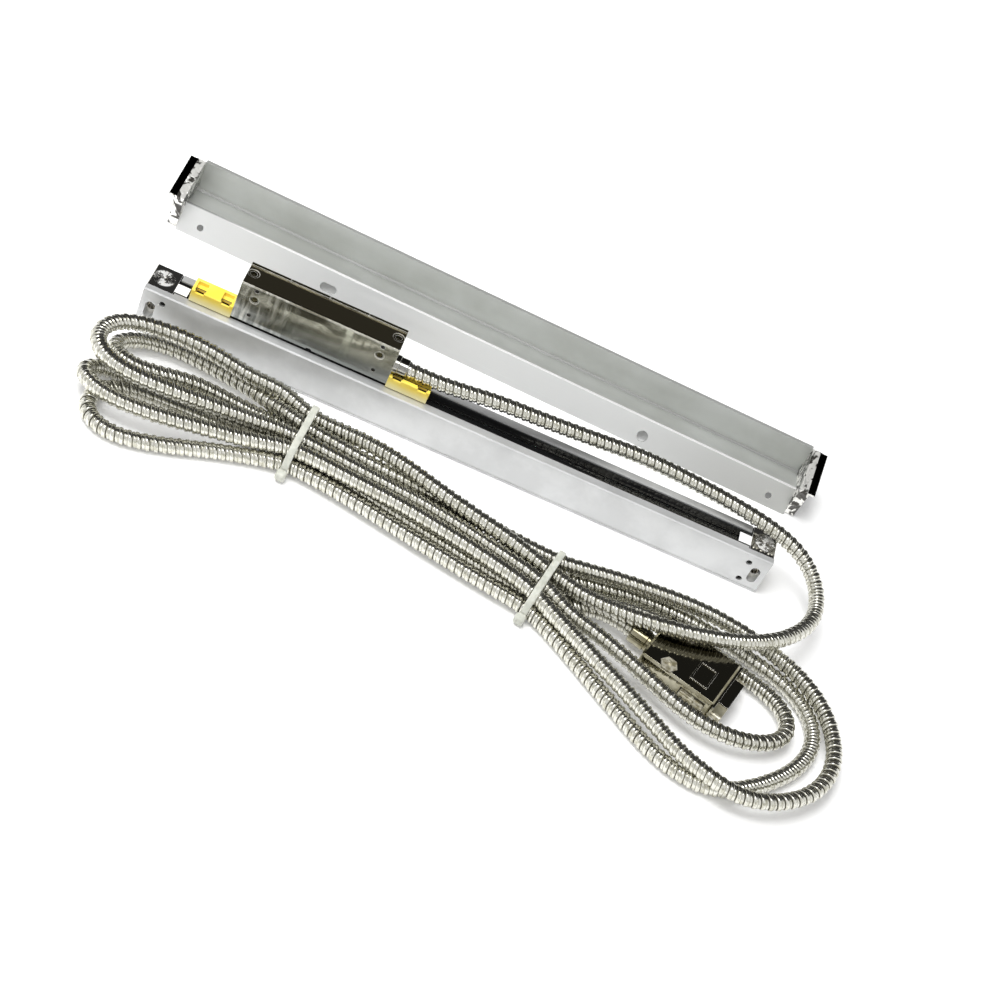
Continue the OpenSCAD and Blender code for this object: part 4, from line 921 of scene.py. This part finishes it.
for finishName, wearerNames in wearers.items():
    for nodeName in wearerNames:
        part = nodes[nodeName]
        if not part.material_slots:
            part.data.materials.append(finishes[finishName])
        for slot in part.material_slots:
            slot.material = finishes[finishName]
print("parts dressed")


# floor, in metres: half its side, its colour, its glow near and far and the distances between which it changes;
# and the strength of the sky as light and as it is seen
stage = {"floorHalf": 3.0, "floorDiffuse": 0.94, "floorShade": 0.985, "floorGrain": 30, "floorGlow": 0.14,
         "farGlow": 0.6, "glowNear": 0.4, "glowFar": 1.5, "skyStrength": 0.36, "white": 1.0}
# cards that only gloss sees: the side along Y, how far off, elevations of the lower and the upper edge in
# degrees, the middle and the width along X, the tone
cards = {
    "back_card": {"side": 1, "far": 1.15, "from": -0.5, "to": 97, "middle": 0, "width": 3.4, "tone": 0.07},
    "front_card": {"side": -1, "far": 1.5, "from": 0, "to": 60, "middle": -0.6, "width": 3.0, "tone": 0.85},
}
# lamps: places and sizes in metres, power in watts, and whether gloss sees them
lamps = {
    "glint": {"place": (-0.12, -0.42, 1.25), "aim": (0, -0.03, 0), "size": 0.5, "power": 4, "gloss": True},
    "overhead": {"place": (-0.45, 0, 1.25), "aim": (-0.05, 0, 0), "size": 0.9, "power": 16.5, "gloss": False},
    "front": {"place": (-0.7, -1.0, 1.0), "aim": (0, -0.05, 0), "size": 0.7, "power": 4, "gloss": False},
}


# 1 for rays that the camera, gloss or glass sends out, 0 for light that only bounces
def seenRays(w):
    rays = [w.node("LightPath", out=kind) for kind in ("Is Camera Ray", "Is Glossy Ray", "Is Transmission Ray")]
    return w.maths("MINIMUM", rays[0] + rays[1] + rays[2], 1.0)


# gives a piece of the stage a material from the wires of a surface function
def makeStageMaterial(piece, surface):
    material = bpy.data.materials.new(piece.name)
    material.use_nodes = True
    tree = material.node_tree
    tree.nodes.clear()
    out = tree.nodes.new("ShaderNodeOutputMaterial")
    tree.links.new(surface(Wire(tree)).socket, out.inputs["Surface"])
    piece.data.materials.append(material)


def grey(level):
    return (level,) * 3 + (1,)


# a matt white with a glow that rises with the distance from the object's middle
def floorSurface(w):
    white, shade = grey(stage["floorDiffuse"]), grey(stage["floorDiffuse"] * stage["floorShade"])
    cloud = noise(w, stage["floorGrain"], 2)
    matt = w.node("BsdfDiffuse", None, {"Color": blend(w, cloud, white, shade)})
    reach = w.node("VectorMath", {"operation": "LENGTH"}, {0: objectPlace(w)}, "Value")
    share = grey(stage["floorGlow"] / stage["farGlow"])
    colour = blend(w, reach.rise(stage["glowNear"], stage["glowFar"]), share, grey(1))
    glow = w.node("Emission", None, {"Color": colour, "Strength": seenRays(w) * stage["farGlow"]})
    return w.node("AddShader", None, {0: matt, 1: glow})


def makeFloor():
    h = stage["floorHalf"]
    floor = meshPiece("floor", [(-h, -h, 0), (h, -h, 0), (h, h, 0), (-h, h, 0)], [(0, 1, 2, 3)], smooth=False)
    makeStageMaterial(floor, floorSurface)


# a card on an arc round the object, from one elevation to another
def makeCard(name, c, rows=9):
    lift = np.radians(np.linspace(c["from"], c["to"], rows))
    x = c["middle"] + np.linspace(-c["width"] / 2, c["width"] / 2, 2)
    lift, x = np.meshgrid(lift, x, indexing="ij")
    points = np.stack([x, c["side"] * c["far"] * np.cos(lift), c["far"] * np.sin(lift)], -1)
    a = np.arange(0, 2 * (rows - 1), 2)
    card = meshPiece(name, points, np.stack([a, a + 1, a + 3, a + 2], -1).tolist())
    makeStageMaterial(card, lambda w: w.node("Emission", None, {"Color": grey(1), "Strength": c["tone"]}))
    card.visible_camera = card.visible_diffuse = card.visible_shadow = False
    card.visible_transmission = card.visible_volume_scatter = False


# a square lamp that points from its place to its aim
def makeLamp(name, c):
    data = bpy.data.lights.new(name, "AREA")
    data.shape, data.size, data.energy = "SQUARE", c["size"], c["power"]
    lamp = bpy.data.objects.new(name, data)
    lamp.location = c["place"]
    way = np.array(c["aim"]) - np.array(c["place"])
    flat = math.hypot(way[0], way[1])
    lamp.rotation_euler = (math.atan2(flat, -way[2]), 0, math.atan2(-way[0], way[1]))
    lamp.visible_camera = False
    lamp.visible_glossy = c["gloss"]
    scene.collection.objects.link(lamp)


# an even sky, plain white to the camera, gloss and glass
def makeSky():
    world = bpy.data.worlds.new("studio")
    scene.world = world
    world.use_nodes = True
    tree = world.node_tree
    w = Wire(tree)
    background = tree.nodes["Background"]
    background.inputs["Color"].default_value = grey(1)
    level = stage["skyStrength"] + (stage["white"] - stage["skyStrength"]) * seenRays(w)
    tree.links.new(level.socket, background.inputs["Strength"])


makeFloor()
for cardName, cardSet in cards.items():
    makeCard(cardName, cardSet)
for lampName, lampSet in lamps.items():
    makeLamp(lampName, lampSet)
makeSky()
scene.view_settings.view_transform = "Standard"
print("stage set")
